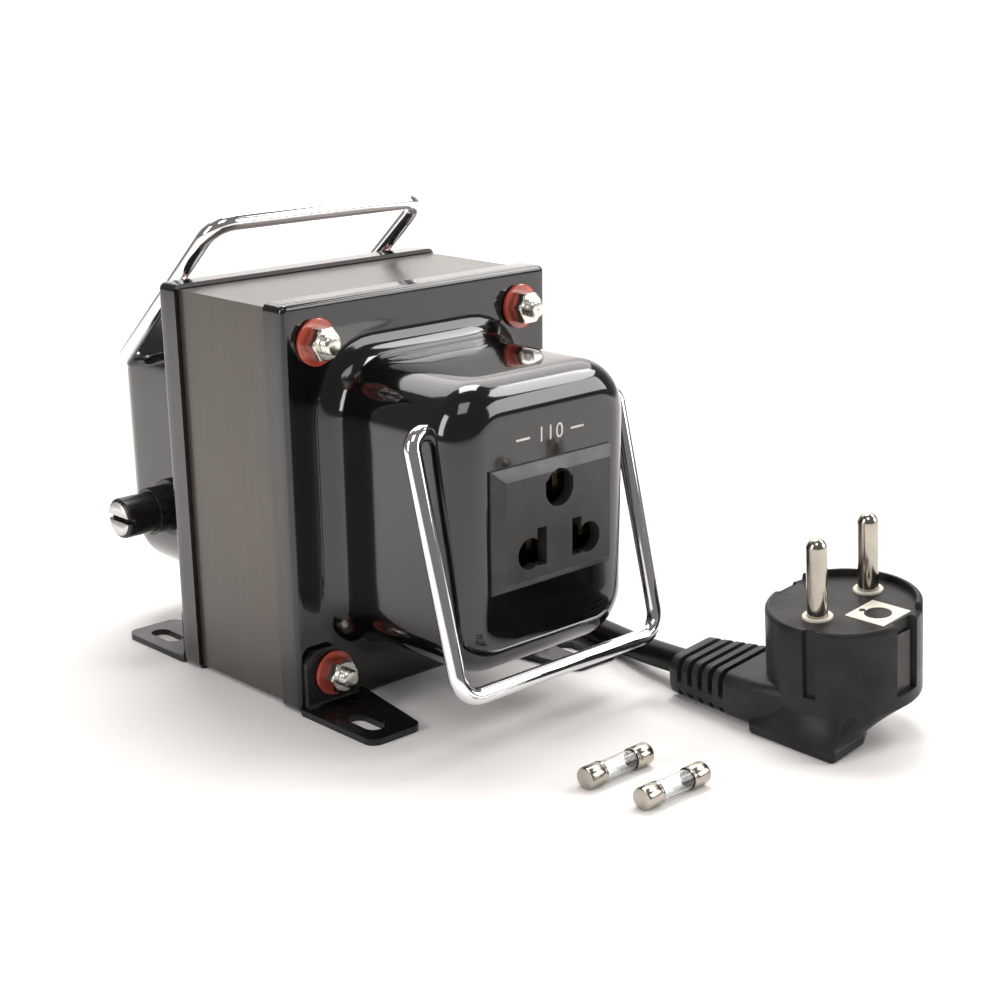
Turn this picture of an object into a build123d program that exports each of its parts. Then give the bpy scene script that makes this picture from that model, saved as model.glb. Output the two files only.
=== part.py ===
from build123d import *
import math
import os

# Travel voltage converter: a laminated iron transformer held between two drawn steel end bells,
# with an outlet on the front bell, a fuse holder and a mains cord on the rear bell, two wire
# carrying handles and four slotted feet.
# Frame: +X to the front, where the outlet is; +Y across, to the cord's side; +Z up.
# The origin is on the floor in the middle of the four foot slots, under the middle of the core.

# Transformer core, laminations of the usual E and I shapes, with their long side upright
core_length = 96.0
core_width = 80.0
core_stack = 47.4
core_leg = 32.0
core_yoke = 16.0
core_packets = 5

# Bobbin and winding round the middle leg, whose axis is along Y
bobbin_fit = 0.3
bobbin_wall = 1.5
bobbin_flange = 1.2
bobbin_lip = 1.2
bobbin_corner_r = 3.0
winding_build = 9.5
winding_fit = 0.1
winding_corner_r = 3.0
tape_thickness = 0.4
tape_width = 30.0

# End bells, one steel sheet each: a pan over the core's face and a drawn box over the winding
sheet = 1.0
pan_fit = 0.2
pan_lip = 7.0
pan_edge_r = 1.2
rim_share = 0.45
pan_corner_r = 1.8
bell_width = 57.0
bell_height = 68.8
bell_depth = 43.5
bell_corner_r = 13.0
bell_edge_r = 8.5
bell_root_r = 6.0

# Feet
foot_reach = 27.0
foot_sheet = 1.6
foot_bend_r = 1.0
foot_outer_y = 41.2
foot_root_width = 20.0
foot_tip_width = 15.0
foot_tip_r = 3.0
foot_leg_outer_y = 40.0
foot_leg_width = 15.5
foot_leg_height = 16.0
foot_leg_top_width = 8.5
foot_leg_outer_r = 4.0
foot_slot_length = 11.0
foot_slot_width = 5.0
foot_slot_from_pan = 17.0
foot_slot_y = 35.0

# Bolts through the core, with their heads at the rear
bolt_r = 2.5
bolt_head_width = 8.0
bolt_head_height = 3.5
bolt_stub = 4.5
bolt_tip = 0.7
bolt_hole_fit = 0.3
nut_width = 8.0
nut_height = 4.0
nut_fit = 0.05
washer_r = 5.5
washer_thickness = 1.0
washer_fit = 0.2

# Outlet on the front bell
outlet_width = 38.2
outlet_height = 28.8
outlet_z = 49.9
outlet_proud = 3.0
outlet_bevel = 2.4
outlet_body_inset = 2.3
outlet_body_depth = 20.0
outlet_chamber_depth = 16.0
outlet_hole_fit = 0.3
earth_hole_width = 8.8
earth_hole_height = 6.5
earth_hole_z = 56.6
blade_slot_width = 3.0
blade_slot_height = 9.0
blade_slot_y = 5.6
blade_slot_z = 45.0
pin_hole_r = 3.7
pin_hole_y = 9.4
pin_hole_z = 44.0
chamber_margin = 0.9

# Contact clips of the outlet
contact_sheet = 0.6
contact_fit = 0.1
contact_height = 6.0
contact_length = 12.0
tab_width = 4.8
tab_thickness = 0.8
tab_length = 8.0
tab_fit = 0.15

# Fuse holder on the rear bell's left wall, and glass fuses
holder_x = -43.0
holder_z = 36.0
holder_flange_r = 7.5
holder_flange = 2.5
holder_neck_r = 6.2
holder_neck = 6.0
holder_barrel_r = 5.5
holder_barrel = 24.0
holder_end_wall = 2.0
holder_hole_fit = 0.1
holder_nut_width = 15.0
holder_nut_height = 3.0
knob_r = 5.3
knob_length = 9.0
knob_edge_r = 1.0
knob_slot_width = 1.3
knob_slot_depth = 1.6
stem_r = 4.1
stem_fit = 0.08
stem_tip_depth = 5.0
stem_pocket = 3.5
turn_gap = 0.1
fuse_length = 20.0
fuse_cap_r = 2.6
fuse_cap_length = 5.2
fuse_cap_wall = 0.25
fuse_glass_r = 2.3
fuse_glass_wall = 0.35
fuse_glass_inset = 0.4
fuse_wire_r = 0.2
fuse_fit = 0.05
lug_width = 4.8
lug_thickness = 0.8
lug_length = 7.0
lug_gap = 0.15

# Spare fuses on the floor beside the plug, each along Y
spare_fuse_x = (101.4, 117.0)
spare_fuse_y = (-12.7, -11.6)

# Wire handles
handle_pivot_x = 57.5
handle_pivot_z = 73.0
handle_drop = 60.0
handle_wire_r = 2.0
handle_leg_y = 32.5
handle_end_inside = 4.0
handle_end_bend_r = 3.5
handle_corner_r = 6.0
handle_hole_fit = 0.08
handle_front_tilt = 14.9
handle_seat_gap = 0.3

# Cord bushing on the rear bell's right wall
cord_r = 3.4
bend_share = 0.45
bushing_x = -43.0
bushing_z = 36.0
bushing_collar_r = 6.4
bushing_collar = 5.0
bushing_neck_r = 5.0
bushing_head_r = 6.8
bushing_head = 3.5
bushing_sleeve = 24.0
bushing_sleeve_root_r = 5.6
bushing_sleeve_tip_r = 4.3
bushing_groove = 1.4
bushing_groove_floor_r = 3.9
bushing_grooves = 5
bushing_fit = 0.1

# Cord coil, wound in and out again in two layers
coil_x = -87.0
coil_y = 92.5
coil_outer_r = 42.5
coil_climb_slope = 1.4
coil_gap = 0.55
coil_quarters = 18

# Plug: the pins point up, the cord leaves to the rear
plug_x = 118.9
plug_y = 44.0
plug_z = 31.0
plug_roll = 5.8
plug_face_r = 18.0
plug_face_edge_r = 1.4
plug_base_depth = 29.2
plug_base_length = 35.0
plug_base_width = 38.5
plug_base_corner_r = 9.0
plug_base_rise = 5.3
pin_r = 2.4
pin_length = 19.0
pin_pitch = 19.0
pin_tip_r = 1.9
pin_root = 8.0
pin_collar_r = 3.3
pin_collar_height = 2.6
pin_fit = 0.05
earth_plate = 10.5
earth_plate_thickness = 1.0
earth_plate_x = 9.6
earth_bore_r = 3.1
earth_tube_r = 3.7
earth_tube_depth = 14.0
clip_width = 5.0
clip_sheet = 0.8
clip_top_gap = 3.0
clip_length = 15.0
groove_width = 7.0
groove_depth = 2.2
groove_length = 20.0
arm_width = 15.5
arm_height = 13.5
arm_y = -2.0
arm_bottom_depth = 28.2
arm_end_x = -40.0
arm_edge_r = 3.0
rib_count = 5
rib_thickness = 2.3
rib_gap = 1.7
rib_core_width = 9.0
rib_core_height = 8.4

# Leads inside the bells

# One overrun for all cuts
overrun = 1.0

# Places that follow from the sizes above
pan_width = core_width + 2 * (sheet + pan_fit)
pan_height = core_length + 2 * (sheet + pan_fit)
pan_x = core_stack / 2 + sheet
mid_z = pan_height / 2
bell_x = pan_x + bell_depth
bolt_y = core_width / 2 - core_yoke / 2
bolt_dz = core_length / 2 - core_yoke / 2
bolt_places = [(sy * bolt_y, mid_z + sz * bolt_dz) for sz in (-1, 1) for sy in (-1, 1)]
foot_slot_x = pan_x + foot_slot_from_pan
cord_d = 2 * cord_r


def box_between(x0, x1, y0, y1, z0, z1):
    """A box given by its low and high sides."""
    return Pos((x0 + x1) / 2, (y0 + y1) / 2, (z0 + z1) / 2) * Box(x1 - x0, y1 - y0, z1 - z0)


def cylinder_x(r, x0, x1, y, z):
    """A cylinder along X from x0 to x1."""
    return Plane((x0, y, z), z_dir=(1, 0, 0)) * extrude(Circle(r), x1 - x0)


def cylinder_y(r, y0, y1, x, z):
    """A cylinder along Y from y0 to y1."""
    return Plane((x, y0, z), z_dir=(0, 1, 0)) * extrude(Circle(r), y1 - y0)


def on_yz(sketch, x, depth):
    """A sketch drawn in Y and Z, moved to x and extruded along +X."""
    return Pos(x, 0, 0) * extrude(Plane.YZ * sketch, depth)


def as_solid(shape):
    """The single solid of a result."""
    return shape.solids()[0]


def bolt_grip(z):
    """Half the clamped length at a bolt: the lower ones also hold the feet."""
    return pan_x + (foot_sheet if z < mid_z else 0)


# Core

def lamination_stack(back_side):
    """E sheet with its back at y = back_side * core_width / 2, and the I sheet that closes it."""
    half_w = core_width / 2
    packet = core_stack / core_packets
    window_y = core_width - 2 * core_yoke
    window_z = (core_length - core_leg - 2 * core_yoke) / 2
    sheet_e = Rectangle(core_width - core_yoke, core_length)
    sheet_e = Pos(back_side * core_yoke / 2, mid_z) * sheet_e
    for side in (-1, 1):
        z = mid_z + side * (core_leg + window_z) / 2
        sheet_e -= Pos(0, z) * Rectangle(window_y, window_z)
    sheet_i = Pos(-back_side * (half_w - core_yoke / 2), mid_z) * Rectangle(core_yoke, core_length)
    for y, z in bolt_places:
        hole = Pos(y, z) * Circle(bolt_r + bolt_hole_fit)
        sheet_e -= hole
        sheet_i -= hole
    return sheet_e, sheet_i, packet


def make_core():
    """Packets of E and I sheets, turned about from one packet to the next."""
    e_parts = []
    i_parts = []
    for n in range(core_packets):
        sheet_e, sheet_i, packet = lamination_stack(-1 if n % 2 == 0 else 1)
        x = -core_stack / 2 + n * packet
        e_parts.append(on_yz(sheet_e, x, packet))
        i_parts.append(on_yz(sheet_i, x, packet))
    return {"e_laminations": e_parts, "i_laminations": i_parts}


# Winding

def ring_xz(half_x, half_z, corner, y0, y1):
    """A rounded block about the middle leg, from y0 to y1."""
    sketch = Plane.XZ * RectangleRounded(2 * half_x, 2 * half_z, corner)
    return Pos(0, y1, mid_z) * extrude(sketch, y1 - y0)


def make_winding():
    """Bobbin, winding and its tape."""
    window_y = core_width - 2 * core_yoke
    bore_x = core_stack / 2 + bobbin_fit
    bore_z = core_leg / 2 + bobbin_fit
    tube_x = bore_x + bobbin_wall
    tube_z = bore_z + bobbin_wall
    wound_x = tube_x + winding_build
    wound_z = tube_z + winding_build
    half = window_y / 2 - bobbin_fit
    bore = box_between(-bore_x, bore_x, -half - overrun, half + overrun,
                       mid_z - bore_z, mid_z + bore_z)
    bobbin = box_between(-tube_x, tube_x, -half, half, mid_z - tube_z, mid_z + tube_z)
    for y0 in (-half, half - bobbin_flange):
        bobbin += ring_xz(wound_x + bobbin_lip, wound_z + bobbin_lip, bobbin_corner_r,
                          y0, y0 + bobbin_flange)
    bobbin -= bore
    inner = half - bobbin_flange - winding_fit
    core = box_between(-tube_x - winding_fit, tube_x + winding_fit,
                       -half, half,
                       mid_z - tube_z - winding_fit, mid_z + tube_z + winding_fit)
    winding = ring_xz(wound_x, wound_z, winding_corner_r, -inner, inner) - core
    tape = ring_xz(wound_x + tape_thickness, wound_z + tape_thickness,
                   winding_corner_r + tape_thickness, -tape_width / 2, tape_width / 2)
    tape -= ring_xz(wound_x, wound_z, winding_corner_r, -inner, inner)
    return {"bobbin": [bobbin], "winding": [winding], "winding_tape": [tape]}


# End bells

def bell_block(inset):
    """Drawn box of the bell, inset from its outer face by the sheet or by nothing."""
    outline = RectangleRounded(bell_width - 2 * inset, bell_height - 2 * inset, bell_corner_r - inset)
    block = on_yz(Pos(0, mid_z) * outline, 0, bell_x - inset)
    return fillet(block.faces().sort_by(Axis.X)[-1].edges(), bell_edge_r - inset)


def pan_block(inset):
    """Flat pan over the core's face, inset from its outer face by the sheet or by nothing."""
    x1 = pan_x - inset
    half_y = pan_width / 2 - inset
    half_z = pan_height / 2 - inset
    return box_between(pan_x - pan_lip - (overrun if inset else 0), x1,
                       -half_y, half_y, mid_z - half_z, mid_z + half_z)


def bell_form(inset):
    """Pan and drawn box in one, with the rounded root between them."""
    root_x = pan_x - inset
    form = pan_block(inset)
    box = bell_block(inset) & box_between(pan_x - pan_lip, bell_x, -bell_width, bell_width,
                                          0, pan_height)
    form += box
    reach_y = bell_width / 2 - inset
    reach_z = bell_height / 2 - inset
    root = [edge for edge in form.edges()
            if abs(edge.center().X - root_x) < sheet / 10
            and abs(edge.center().Y) < reach_y + sheet / 10
            and abs(edge.center().Z - mid_z) < reach_z + sheet / 10]
    return fillet(root, bell_root_r + inset)


def bell_shell():
    """One pressed end bell, facing +X, with its bolt holes and the handle's holes."""
    outer = bell_form(0)
    corners = [edge for edge in outer.edges().filter_by(Axis.X)
               if abs(abs(edge.center().Y) - pan_width / 2) < sheet / 10]
    outer = fillet(corners, pan_corner_r)
    rim = [edge for edge in outer.faces().filter_by(Axis.X).sort_by(SortBy.AREA)[-1].edges()
           if max(abs(edge.center().Y) / pan_width, abs(edge.center().Z - mid_z) / pan_height) > rim_share]
    outer = fillet(rim, pan_edge_r)
    shell = outer - bell_form(sheet)
    for y, z in bolt_places:
        shell -= cylinder_x(bolt_r + bolt_hole_fit, pan_x - sheet - overrun, pan_x + overrun, y, z)
    shell -= cylinder_y(handle_wire_r + handle_hole_fit, -bell_width, bell_width,
                        handle_pivot_x, handle_pivot_z)
    return as_solid(shell)


def make_bells():
    """Front bell with the outlet's cut-out, rear bell with the holes of holder and bushing."""
    shell = bell_shell()
    cut_w = outlet_width - 2 * outlet_body_inset + 2 * outlet_hole_fit
    cut_h = outlet_height - 2 * outlet_body_inset + 2 * outlet_hole_fit
    front = shell - box_between(bell_x - sheet - overrun, bell_x + overrun, -cut_w / 2, cut_w / 2,
                                outlet_z - cut_h / 2, outlet_z + cut_h / 2)
    rear = Rot(0, 0, 180) * shell
    rear -= cylinder_y(holder_barrel_r + holder_hole_fit, -bell_width / 2 - overrun,
                       -bell_width / 2 + sheet + overrun, holder_x, holder_z)
    rear -= cylinder_y(bushing_neck_r + bushing_fit, bell_width / 2 - sheet - overrun,
                       bell_width / 2 + overrun, bushing_x, bushing_z)
    return {"front_bell": [front], "rear_bell": [rear]}


# Feet

def foot_solid():
    """Bent foot of the front right corner."""
    tip_x = pan_x + foot_reach
    root_y = foot_outer_y - foot_root_width
    plate = Polygon((pan_x, root_y), (tip_x, foot_outer_y - foot_tip_width), (tip_x, foot_outer_y),
                    (pan_x, foot_outer_y), align=None)
    plate = fillet(plate.vertices().sort_by(Axis.X)[2:], foot_tip_r)
    plate -= Pos(foot_slot_x, foot_slot_y) * SlotOverall(foot_slot_length, foot_slot_width)
    plate = extrude(plate, foot_sheet)
    inner_y = foot_leg_outer_y - foot_leg_width
    top_y = foot_leg_outer_y - foot_leg_top_width
    shoulder_z = foot_leg_height - (top_y - inner_y)
    leg = Polygon((inner_y, 0), (foot_leg_outer_y, 0), (foot_leg_outer_y, foot_leg_height),
                  (top_y, foot_leg_height), (inner_y, shoulder_z), align=None)
    outer_corner = leg.vertices().sort_by(Axis.Y)[-2:].sort_by(Axis.X)[-1]
    leg = fillet(outer_corner, foot_leg_outer_r)
    leg -= Pos(bolt_y, mid_z - bolt_dz) * Circle(bolt_r + bolt_hole_fit)
    foot = on_yz(leg, pan_x, foot_sheet) + plate
    inner_bend = [edge for edge in foot.edges().filter_by(Axis.Y)
                  if abs(edge.center().X - pan_x - foot_sheet) < sheet / 10
                  and abs(edge.center().Z - foot_sheet) < sheet / 10]
    foot = fillet(inner_bend, foot_bend_r)
    outer_bend = [edge for edge in foot.edges().filter_by(Axis.Y)
                  if abs(edge.center().X - pan_x) < sheet / 10 and edge.center().Z < sheet / 10]
    return as_solid(fillet(outer_bend, foot_bend_r))


def make_feet():
    """The four feet, mirrored from one."""
    foot = foot_solid()
    left = mirror(foot, about=Plane.XZ)
    return {
        "foot_front_right": [foot],
        "foot_front_left": [left],
        "foot_rear_right": [mirror(foot, about=Plane.YZ)],
        "foot_rear_left": [mirror(left, about=Plane.YZ)],
    }


# Fasteners

def hexagon(width):
    """A hexagon by its width across flats."""
    return RegularPolygon(width / 2, 6, major_radius=False)


def make_fasteners():
    """Bolts with their heads at the rear, nuts in front and an insulating washer at each end."""
    bolts = []
    nuts = []
    front_washers = []
    rear_washers = []
    for y, z in bolt_places:
        seat = bolt_grip(z) + washer_thickness
        tip = seat + nut_height + bolt_stub
        shank = cylinder_x(bolt_r, -seat, tip, y, z)
        shank = chamfer(shank.faces().sort_by(Axis.X)[-1].edges(), bolt_tip)
        head = on_yz(Pos(y, z) * hexagon(bolt_head_width), -seat - bolt_head_height, bolt_head_height)
        bolts.append(as_solid(shank + head))
        nut = Pos(y, z) * hexagon(nut_width) - Pos(y, z) * Circle(bolt_r + nut_fit)
        nuts.append(on_yz(nut, seat, nut_height))
        ring = Pos(y, z) * Circle(washer_r) - Pos(y, z) * Circle(bolt_r + washer_fit)
        front_washers.append(on_yz(ring, seat - washer_thickness, washer_thickness))
        rear_washers.append(on_yz(ring, -seat, washer_thickness))
    return {
        "through_bolts": bolts,
        "front_nuts": nuts,
        "front_washers": front_washers,
        "rear_washers": rear_washers,
    }


# Outlet

def earth_hole():
    """Earth opening: flat above, half round below."""
    r = earth_hole_width / 2
    top = earth_hole_z + earth_hole_height / 2
    low = earth_hole_z - earth_hole_height / 2 + r
    return Pos(0, (top + low) / 2) * Rectangle(earth_hole_width, top - low) + Pos(0, low) * Circle(r)


def pole_hole(side):
    """Opening of one pole: an upright blade slot that runs into a round pin hole."""
    hole = Pos(side * blade_slot_y, blade_slot_z) * Rectangle(blade_slot_width, blade_slot_height)
    hole += Pos(side * pin_hole_y, pin_hole_z) * Circle(pin_hole_r)
    neck_y = (blade_slot_y + pin_hole_y) / 2
    neck = Rectangle(pin_hole_y - blade_slot_y, 2 * blade_slot_width)
    return hole + Pos(side * neck_y, pin_hole_z) * neck


def pole_chamber():
    """Low and high Y and Z of a pole's chamber, for the right side."""
    y0 = blade_slot_y - blade_slot_width / 2 - chamber_margin
    y1 = pin_hole_y + pin_hole_r + chamber_margin
    z0 = min(blade_slot_z - blade_slot_height / 2, pin_hole_z - pin_hole_r) - chamber_margin
    z1 = blade_slot_z + blade_slot_height / 2 + chamber_margin
    return y0, y1, z0, z1


def contact_clip(y0, y1, z, height):
    """Springy U of brass between y0 and y1 with a tab that leaves the chamber to the rear."""
    back = bell_x - outlet_chamber_depth
    front = back + contact_length
    clip = box_between(back, back + contact_sheet, y0, y1, z - height / 2, z + height / 2)
    for low in (y0, y1 - contact_sheet):
        clip += box_between(back, front, low, low + contact_sheet, z - height / 2, z + height / 2)
    rear = bell_x - outlet_body_depth - tab_length
    mid = (y0 + y1) / 2
    clip += box_between(rear, back, mid - tab_width / 2, mid + tab_width / 2,
                        z - tab_thickness / 2, z + tab_thickness / 2)
    return as_solid(clip)


def contact_places():
    """Name, low and high Y, height of the middle and height of each contact."""
    y0, y1, z0, z1 = pole_chamber()
    half = earth_hole_width / 2 + chamber_margin
    fit = contact_fit
    return [
        ("contact_line", y0 + fit, y1 - fit, (z0 + z1) / 2, contact_height),
        ("contact_neutral", -y1 + fit, -y0 - fit, (z0 + z1) / 2, contact_height),
        ("contact_earth", -half + fit, half - fit, earth_hole_z, earth_hole_height - 2 * fit),
    ]


def make_outlet():
    """Outlet face, its insulating body behind the bell and the three contacts."""
    face = on_yz(Pos(0, outlet_z) * Rectangle(outlet_width, outlet_height), bell_x, outlet_proud)
    face = chamfer(face.faces().sort_by(Axis.X)[-1].edges(), outlet_bevel)
    width = outlet_width - 2 * outlet_body_inset
    height = outlet_height - 2 * outlet_body_inset
    body = on_yz(Pos(0, outlet_z) * Rectangle(width, height), bell_x - outlet_body_depth,
                 outlet_body_depth)
    for hole in (earth_hole(), pole_hole(-1), pole_hole(1)):
        face -= on_yz(hole, bell_x - overrun, outlet_proud + 2 * overrun)
    back = bell_x - outlet_chamber_depth
    y0, y1, z0, z1 = pole_chamber()
    for low, high in ((y0, y1), (-y1, -y0)):
        body -= box_between(back, bell_x + overrun, low, high, z0, z1)
    half = earth_hole_width / 2 + chamber_margin
    low_z = earth_hole_z - earth_hole_height / 2 - chamber_margin / 2
    high_z = earth_hole_z + earth_hole_height / 2 + chamber_margin / 2
    body -= box_between(back, bell_x + overrun, -half, half, low_z, high_z)
    nodes = {}
    for name, low, high, z, height in contact_places():
        nodes[name] = [contact_clip(low, high, z, height)]
        mid = (low + high) / 2
        reach_y = tab_width / 2 + tab_fit
        reach_z = tab_thickness / 2 + tab_fit
        body -= box_between(bell_x - outlet_body_depth - overrun, back + overrun,
                            mid - reach_y, mid + reach_y, z - reach_z, z + reach_z)
    nodes["outlet_face"] = [as_solid(face)]
    nodes["outlet_body"] = [as_solid(body)]
    return nodes


# Fuse holder and fuses

def turned(points):
    """A body of revolution about local Z from (radius, height) points."""
    outline = Plane.XZ * Polygon(*points, align=None)
    return revolve(outline, Axis.Z)


def fuse_parts():
    """A glass fuse along Z, from 0 to its length: glass tube, two caps and the wire."""
    inset = fuse_glass_inset
    glass = extrude(Circle(fuse_glass_r) - Circle(fuse_glass_r - fuse_glass_wall),
                    fuse_length - 2 * inset)
    glass = Pos(0, 0, inset) * glass
    cap = turned([(0, 0), (fuse_cap_r, 0), (fuse_cap_r, fuse_cap_length),
                  (fuse_glass_r + fuse_fit, fuse_cap_length), (fuse_glass_r + fuse_fit, inset),
                  (0, inset)])
    cap = fillet(cap.edges().sort_by(Axis.Z)[0], fuse_cap_wall)
    other = Pos(0, 0, fuse_length) * (Rot(180, 0, 0) * cap)
    wire = Pos(0, 0, inset) * extrude(Circle(fuse_wire_r), fuse_length - 2 * inset)
    return glass, [cap, other], wire


def make_fuse_holder():
    """Panel fuse holder: body, nut, two lugs, and the fuse with its turning knob."""
    seat = Plane((holder_x, -bell_width / 2, holder_z), x_dir=(1, 0, 0), z_dir=(0, -1, 0))
    mouth = holder_flange + holder_neck
    bore_r = stem_r + stem_fit
    floor = -holder_barrel + holder_end_wall
    fuse_tail = -stem_tip_depth + stem_pocket - turn_gap
    fuse_nose = fuse_tail - fuse_length
    body = turned([(0, -holder_barrel), (holder_barrel_r, -holder_barrel), (holder_barrel_r, 0),
                   (holder_flange_r, 0), (holder_flange_r, holder_flange),
                   (holder_neck_r, holder_flange), (holder_neck_r, mouth), (bore_r, mouth),
                   (bore_r, floor), (0, floor)])
    nut = hexagon(holder_nut_width) - Circle(holder_barrel_r + holder_hole_fit)
    nut = Pos(0, 0, -sheet - holder_nut_height) * extrude(nut, holder_nut_height)
    side_z = -(stem_tip_depth + fuse_cap_length + stem_pocket) / 2
    slot_half = lug_width / 2 + lug_gap
    body -= box_between(-holder_barrel_r - overrun, 0, -slot_half, slot_half,
                        side_z - lug_thickness / 2 - lug_gap, side_z + lug_thickness / 2 + lug_gap)
    side_lug = box_between(-holder_barrel_r - lug_length, -fuse_cap_r - lug_gap,
                           -lug_width / 2, lug_width / 2,
                           side_z - lug_thickness / 2, side_z + lug_thickness / 2)
    body -= box_between(-slot_half, slot_half, -lug_thickness / 2 - lug_gap,
                        lug_thickness / 2 + lug_gap, -holder_barrel - overrun, floor + overrun)
    end_lug = box_between(-lug_width / 2, lug_width / 2, -lug_thickness / 2, lug_thickness / 2,
                          -holder_barrel - lug_length, fuse_nose - lug_gap)
    stem_tip = -stem_tip_depth
    base = mouth + turn_gap
    knob = turned([(0, stem_tip + stem_pocket), (fuse_cap_r + stem_fit, stem_tip + stem_pocket),
                   (fuse_cap_r + stem_fit, stem_tip), (stem_r, stem_tip), (stem_r, base),
                   (knob_r, base), (knob_r, base + knob_length), (0, base + knob_length)])
    knob = fillet(knob.edges().sort_by(Axis.Z)[-1], knob_edge_r)
    top = base + knob_length
    knob -= box_between(-knob_r, knob_r, -knob_slot_width / 2, knob_slot_width / 2,
                        top - knob_slot_depth, top + overrun)
    glass, caps, wire = fuse_parts()
    move = Pos(0, 0, fuse_nose)
    return {
        "fuse_holder_body": [seat * as_solid(body)],
        "fuse_holder_nut": [seat * as_solid(nut)],
        "fuse_side_lug": [seat * side_lug],
        "fuse_end_lug": [seat * end_lug],
        "fuse_knob": [seat * as_solid(knob)],
        "fuse_glass": [seat * (move * glass)],
        "fuse_caps": [seat * (move * cap) for cap in caps],
        "fuse_wire": [seat * (move * wire)],
    }


def make_spare_fuses():
    """Two spare fuses that lie on the floor."""
    nodes = {"spare_fuse_glass": [], "spare_fuse_caps": [], "spare_fuse_wires": []}
    glass, caps, wire = fuse_parts()
    for x, y in zip(spare_fuse_x, spare_fuse_y):
        place = Plane((x, y - fuse_length / 2, fuse_cap_r), z_dir=(0, 1, 0))
        nodes["spare_fuse_glass"].append(place * glass)
        nodes["spare_fuse_caps"] += [place * cap for cap in caps]
        nodes["spare_fuse_wires"].append(place * wire)
    return nodes


# Handles

def handle_wire():
    """Handle that hangs from the origin: two inward ends, two legs and the grip."""
    end_y = bell_width / 2 - sheet - handle_end_inside
    points = [(0, end_y, 0), (0, handle_leg_y, 0), (0, handle_leg_y, -handle_drop),
              (0, -handle_leg_y, -handle_drop), (0, -handle_leg_y, 0), (0, -end_y, 0)]
    radii = [handle_end_bend_r, handle_corner_r, handle_corner_r, handle_end_bend_r]
    path = FilletPolyline(*points, radius=radii)
    section = Plane(points[0], z_dir=(0, 1, 0)) * Circle(handle_wire_r)
    return as_solid(sweep(section, path=path))


def handle_stop_angle():
    """Angle above the horizon at which a handle's legs meet the pan's top edge."""
    dx = handle_pivot_x - pan_x
    dz = pan_height - handle_pivot_z
    reach = math.hypot(dx, dz)
    lean = math.asin((handle_wire_r + handle_seat_gap) / reach)
    return math.degrees(math.atan2(dz, dx) + lean)


def make_handles():
    """Front handle hanging a little forward, rear handle raised against the rear pan."""
    wire = handle_wire()
    rear_swing = 90 + handle_stop_angle()
    front = Pos(handle_pivot_x, 0, handle_pivot_z) * (Rot(0, -handle_front_tilt, 0) * wire)
    rear = Pos(-handle_pivot_x, 0, handle_pivot_z) * (Rot(0, -rear_swing, 0) * wire)
    print("handle stop angle", round(handle_stop_angle(), 3))
    return {"front_handle": [front], "rear_handle": [rear]}


# Cord

bushing_tip_y = bell_width / 2 + bushing_head + bushing_sleeve
coil_pitch = cord_d + coil_gap
coil_low_z = cord_r
coil_high_z = cord_r + coil_pitch
coil_start = (coil_x + cord_d, coil_y + coil_outer_r, coil_high_z)
coil_end = (coil_x + cord_d, coil_y - coil_outer_r, coil_low_z)

# Routes of the two free stretches, chosen by hand
lead_route = [
    (bushing_x, bushing_tip_y, bushing_z),
    (bushing_x, 72.6, bushing_z),
    (-34.4, 90.7, 34.9),
    (-32.6, 109.4, 25.3),
    (-42.0, 125.6, 16.1),
    (-59.7, coil_y + coil_outer_r, coil_high_z),
    coil_start,
]
plug_mouth = Vector(arm_end_x, arm_y, -arm_bottom_depth + arm_height / 2).rotate(Axis.X, plug_roll)
plug_mouth = plug_mouth + Vector(plug_x, plug_y, plug_z)
tail_route = [
    coil_end,
    (-56.0, coil_y - coil_outer_r, cord_r),
    (-16.0, 49.4, cord_r),
    (18.0, 48.4, cord_r),
    (38.0, 47.4, cord_r),
    (54.0, 45.6, 5.4),
    (66.5, plug_mouth.Y, plug_mouth.Z),
    (plug_mouth.X, plug_mouth.Y, plug_mouth.Z),
]


def route_radii(points):
    """Arc radius at each inner point: a share of the shorter run over the half turn's tangent."""
    vectors = [Vector(*p) for p in points]
    radii = []
    for a, b, c in zip(vectors, vectors[1:], vectors[2:]):
        turn = (b - a).get_angle(c - b)
        shorter = min((b - a).length, (c - b).length)
        radii.append(bend_share * shorter / math.tan(math.radians(turn) / 2))
    return radii


def cord_tube(name, points):
    """A free stretch of the cord along straight runs joined by tangent arcs."""
    points = [tuple(p) for p in points]
    radii = route_radii(points)
    path = FilletPolyline(*points, radius=radii)
    start = Vector(*points[0])
    section = Plane(start, z_dir=Vector(*points[1]) - start) * Circle(cord_r)
    tube = as_solid(sweep(section, path=path))
    expected = math.pi * cord_r ** 2 * path.length
    print(name, "length", round(path.length, 1), "volume ratio", round(tube.volume / expected, 4))
    print(name, "radii in diameters", [round(r / cord_d, 1) for r in radii])
    return tube


def coil_state(quarter):
    """Point and direction of the coil after so many quarter turns from its start at the top."""
    mid = coil_quarters / 2
    slope = coil_pitch / 4
    r = coil_outer_r - slope * (mid - abs(quarter - mid))
    dr = 0 if quarter == mid else math.copysign(slope, quarter - mid)
    if quarter in (0, coil_quarters):
        dr = 0
    climb = min(max((quarter - mid + 1) / 2, 0), 1)
    z = coil_high_z + (coil_low_z - coil_high_z) * climb
    dz = (coil_low_z - coil_high_z) / 2 * coil_climb_slope if quarter == mid else 0
    angle = math.pi / 2 * (1 + quarter)
    out = Vector(math.cos(angle), math.sin(angle), 0)
    along = Vector(-math.sin(angle), math.cos(angle), 0)
    point = Vector(coil_x, coil_y, z) + out * r
    tangent = along * (r * math.pi / 2) + out * dr + Vector(0, 0, dz)
    return point, tangent.normalized()


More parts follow.
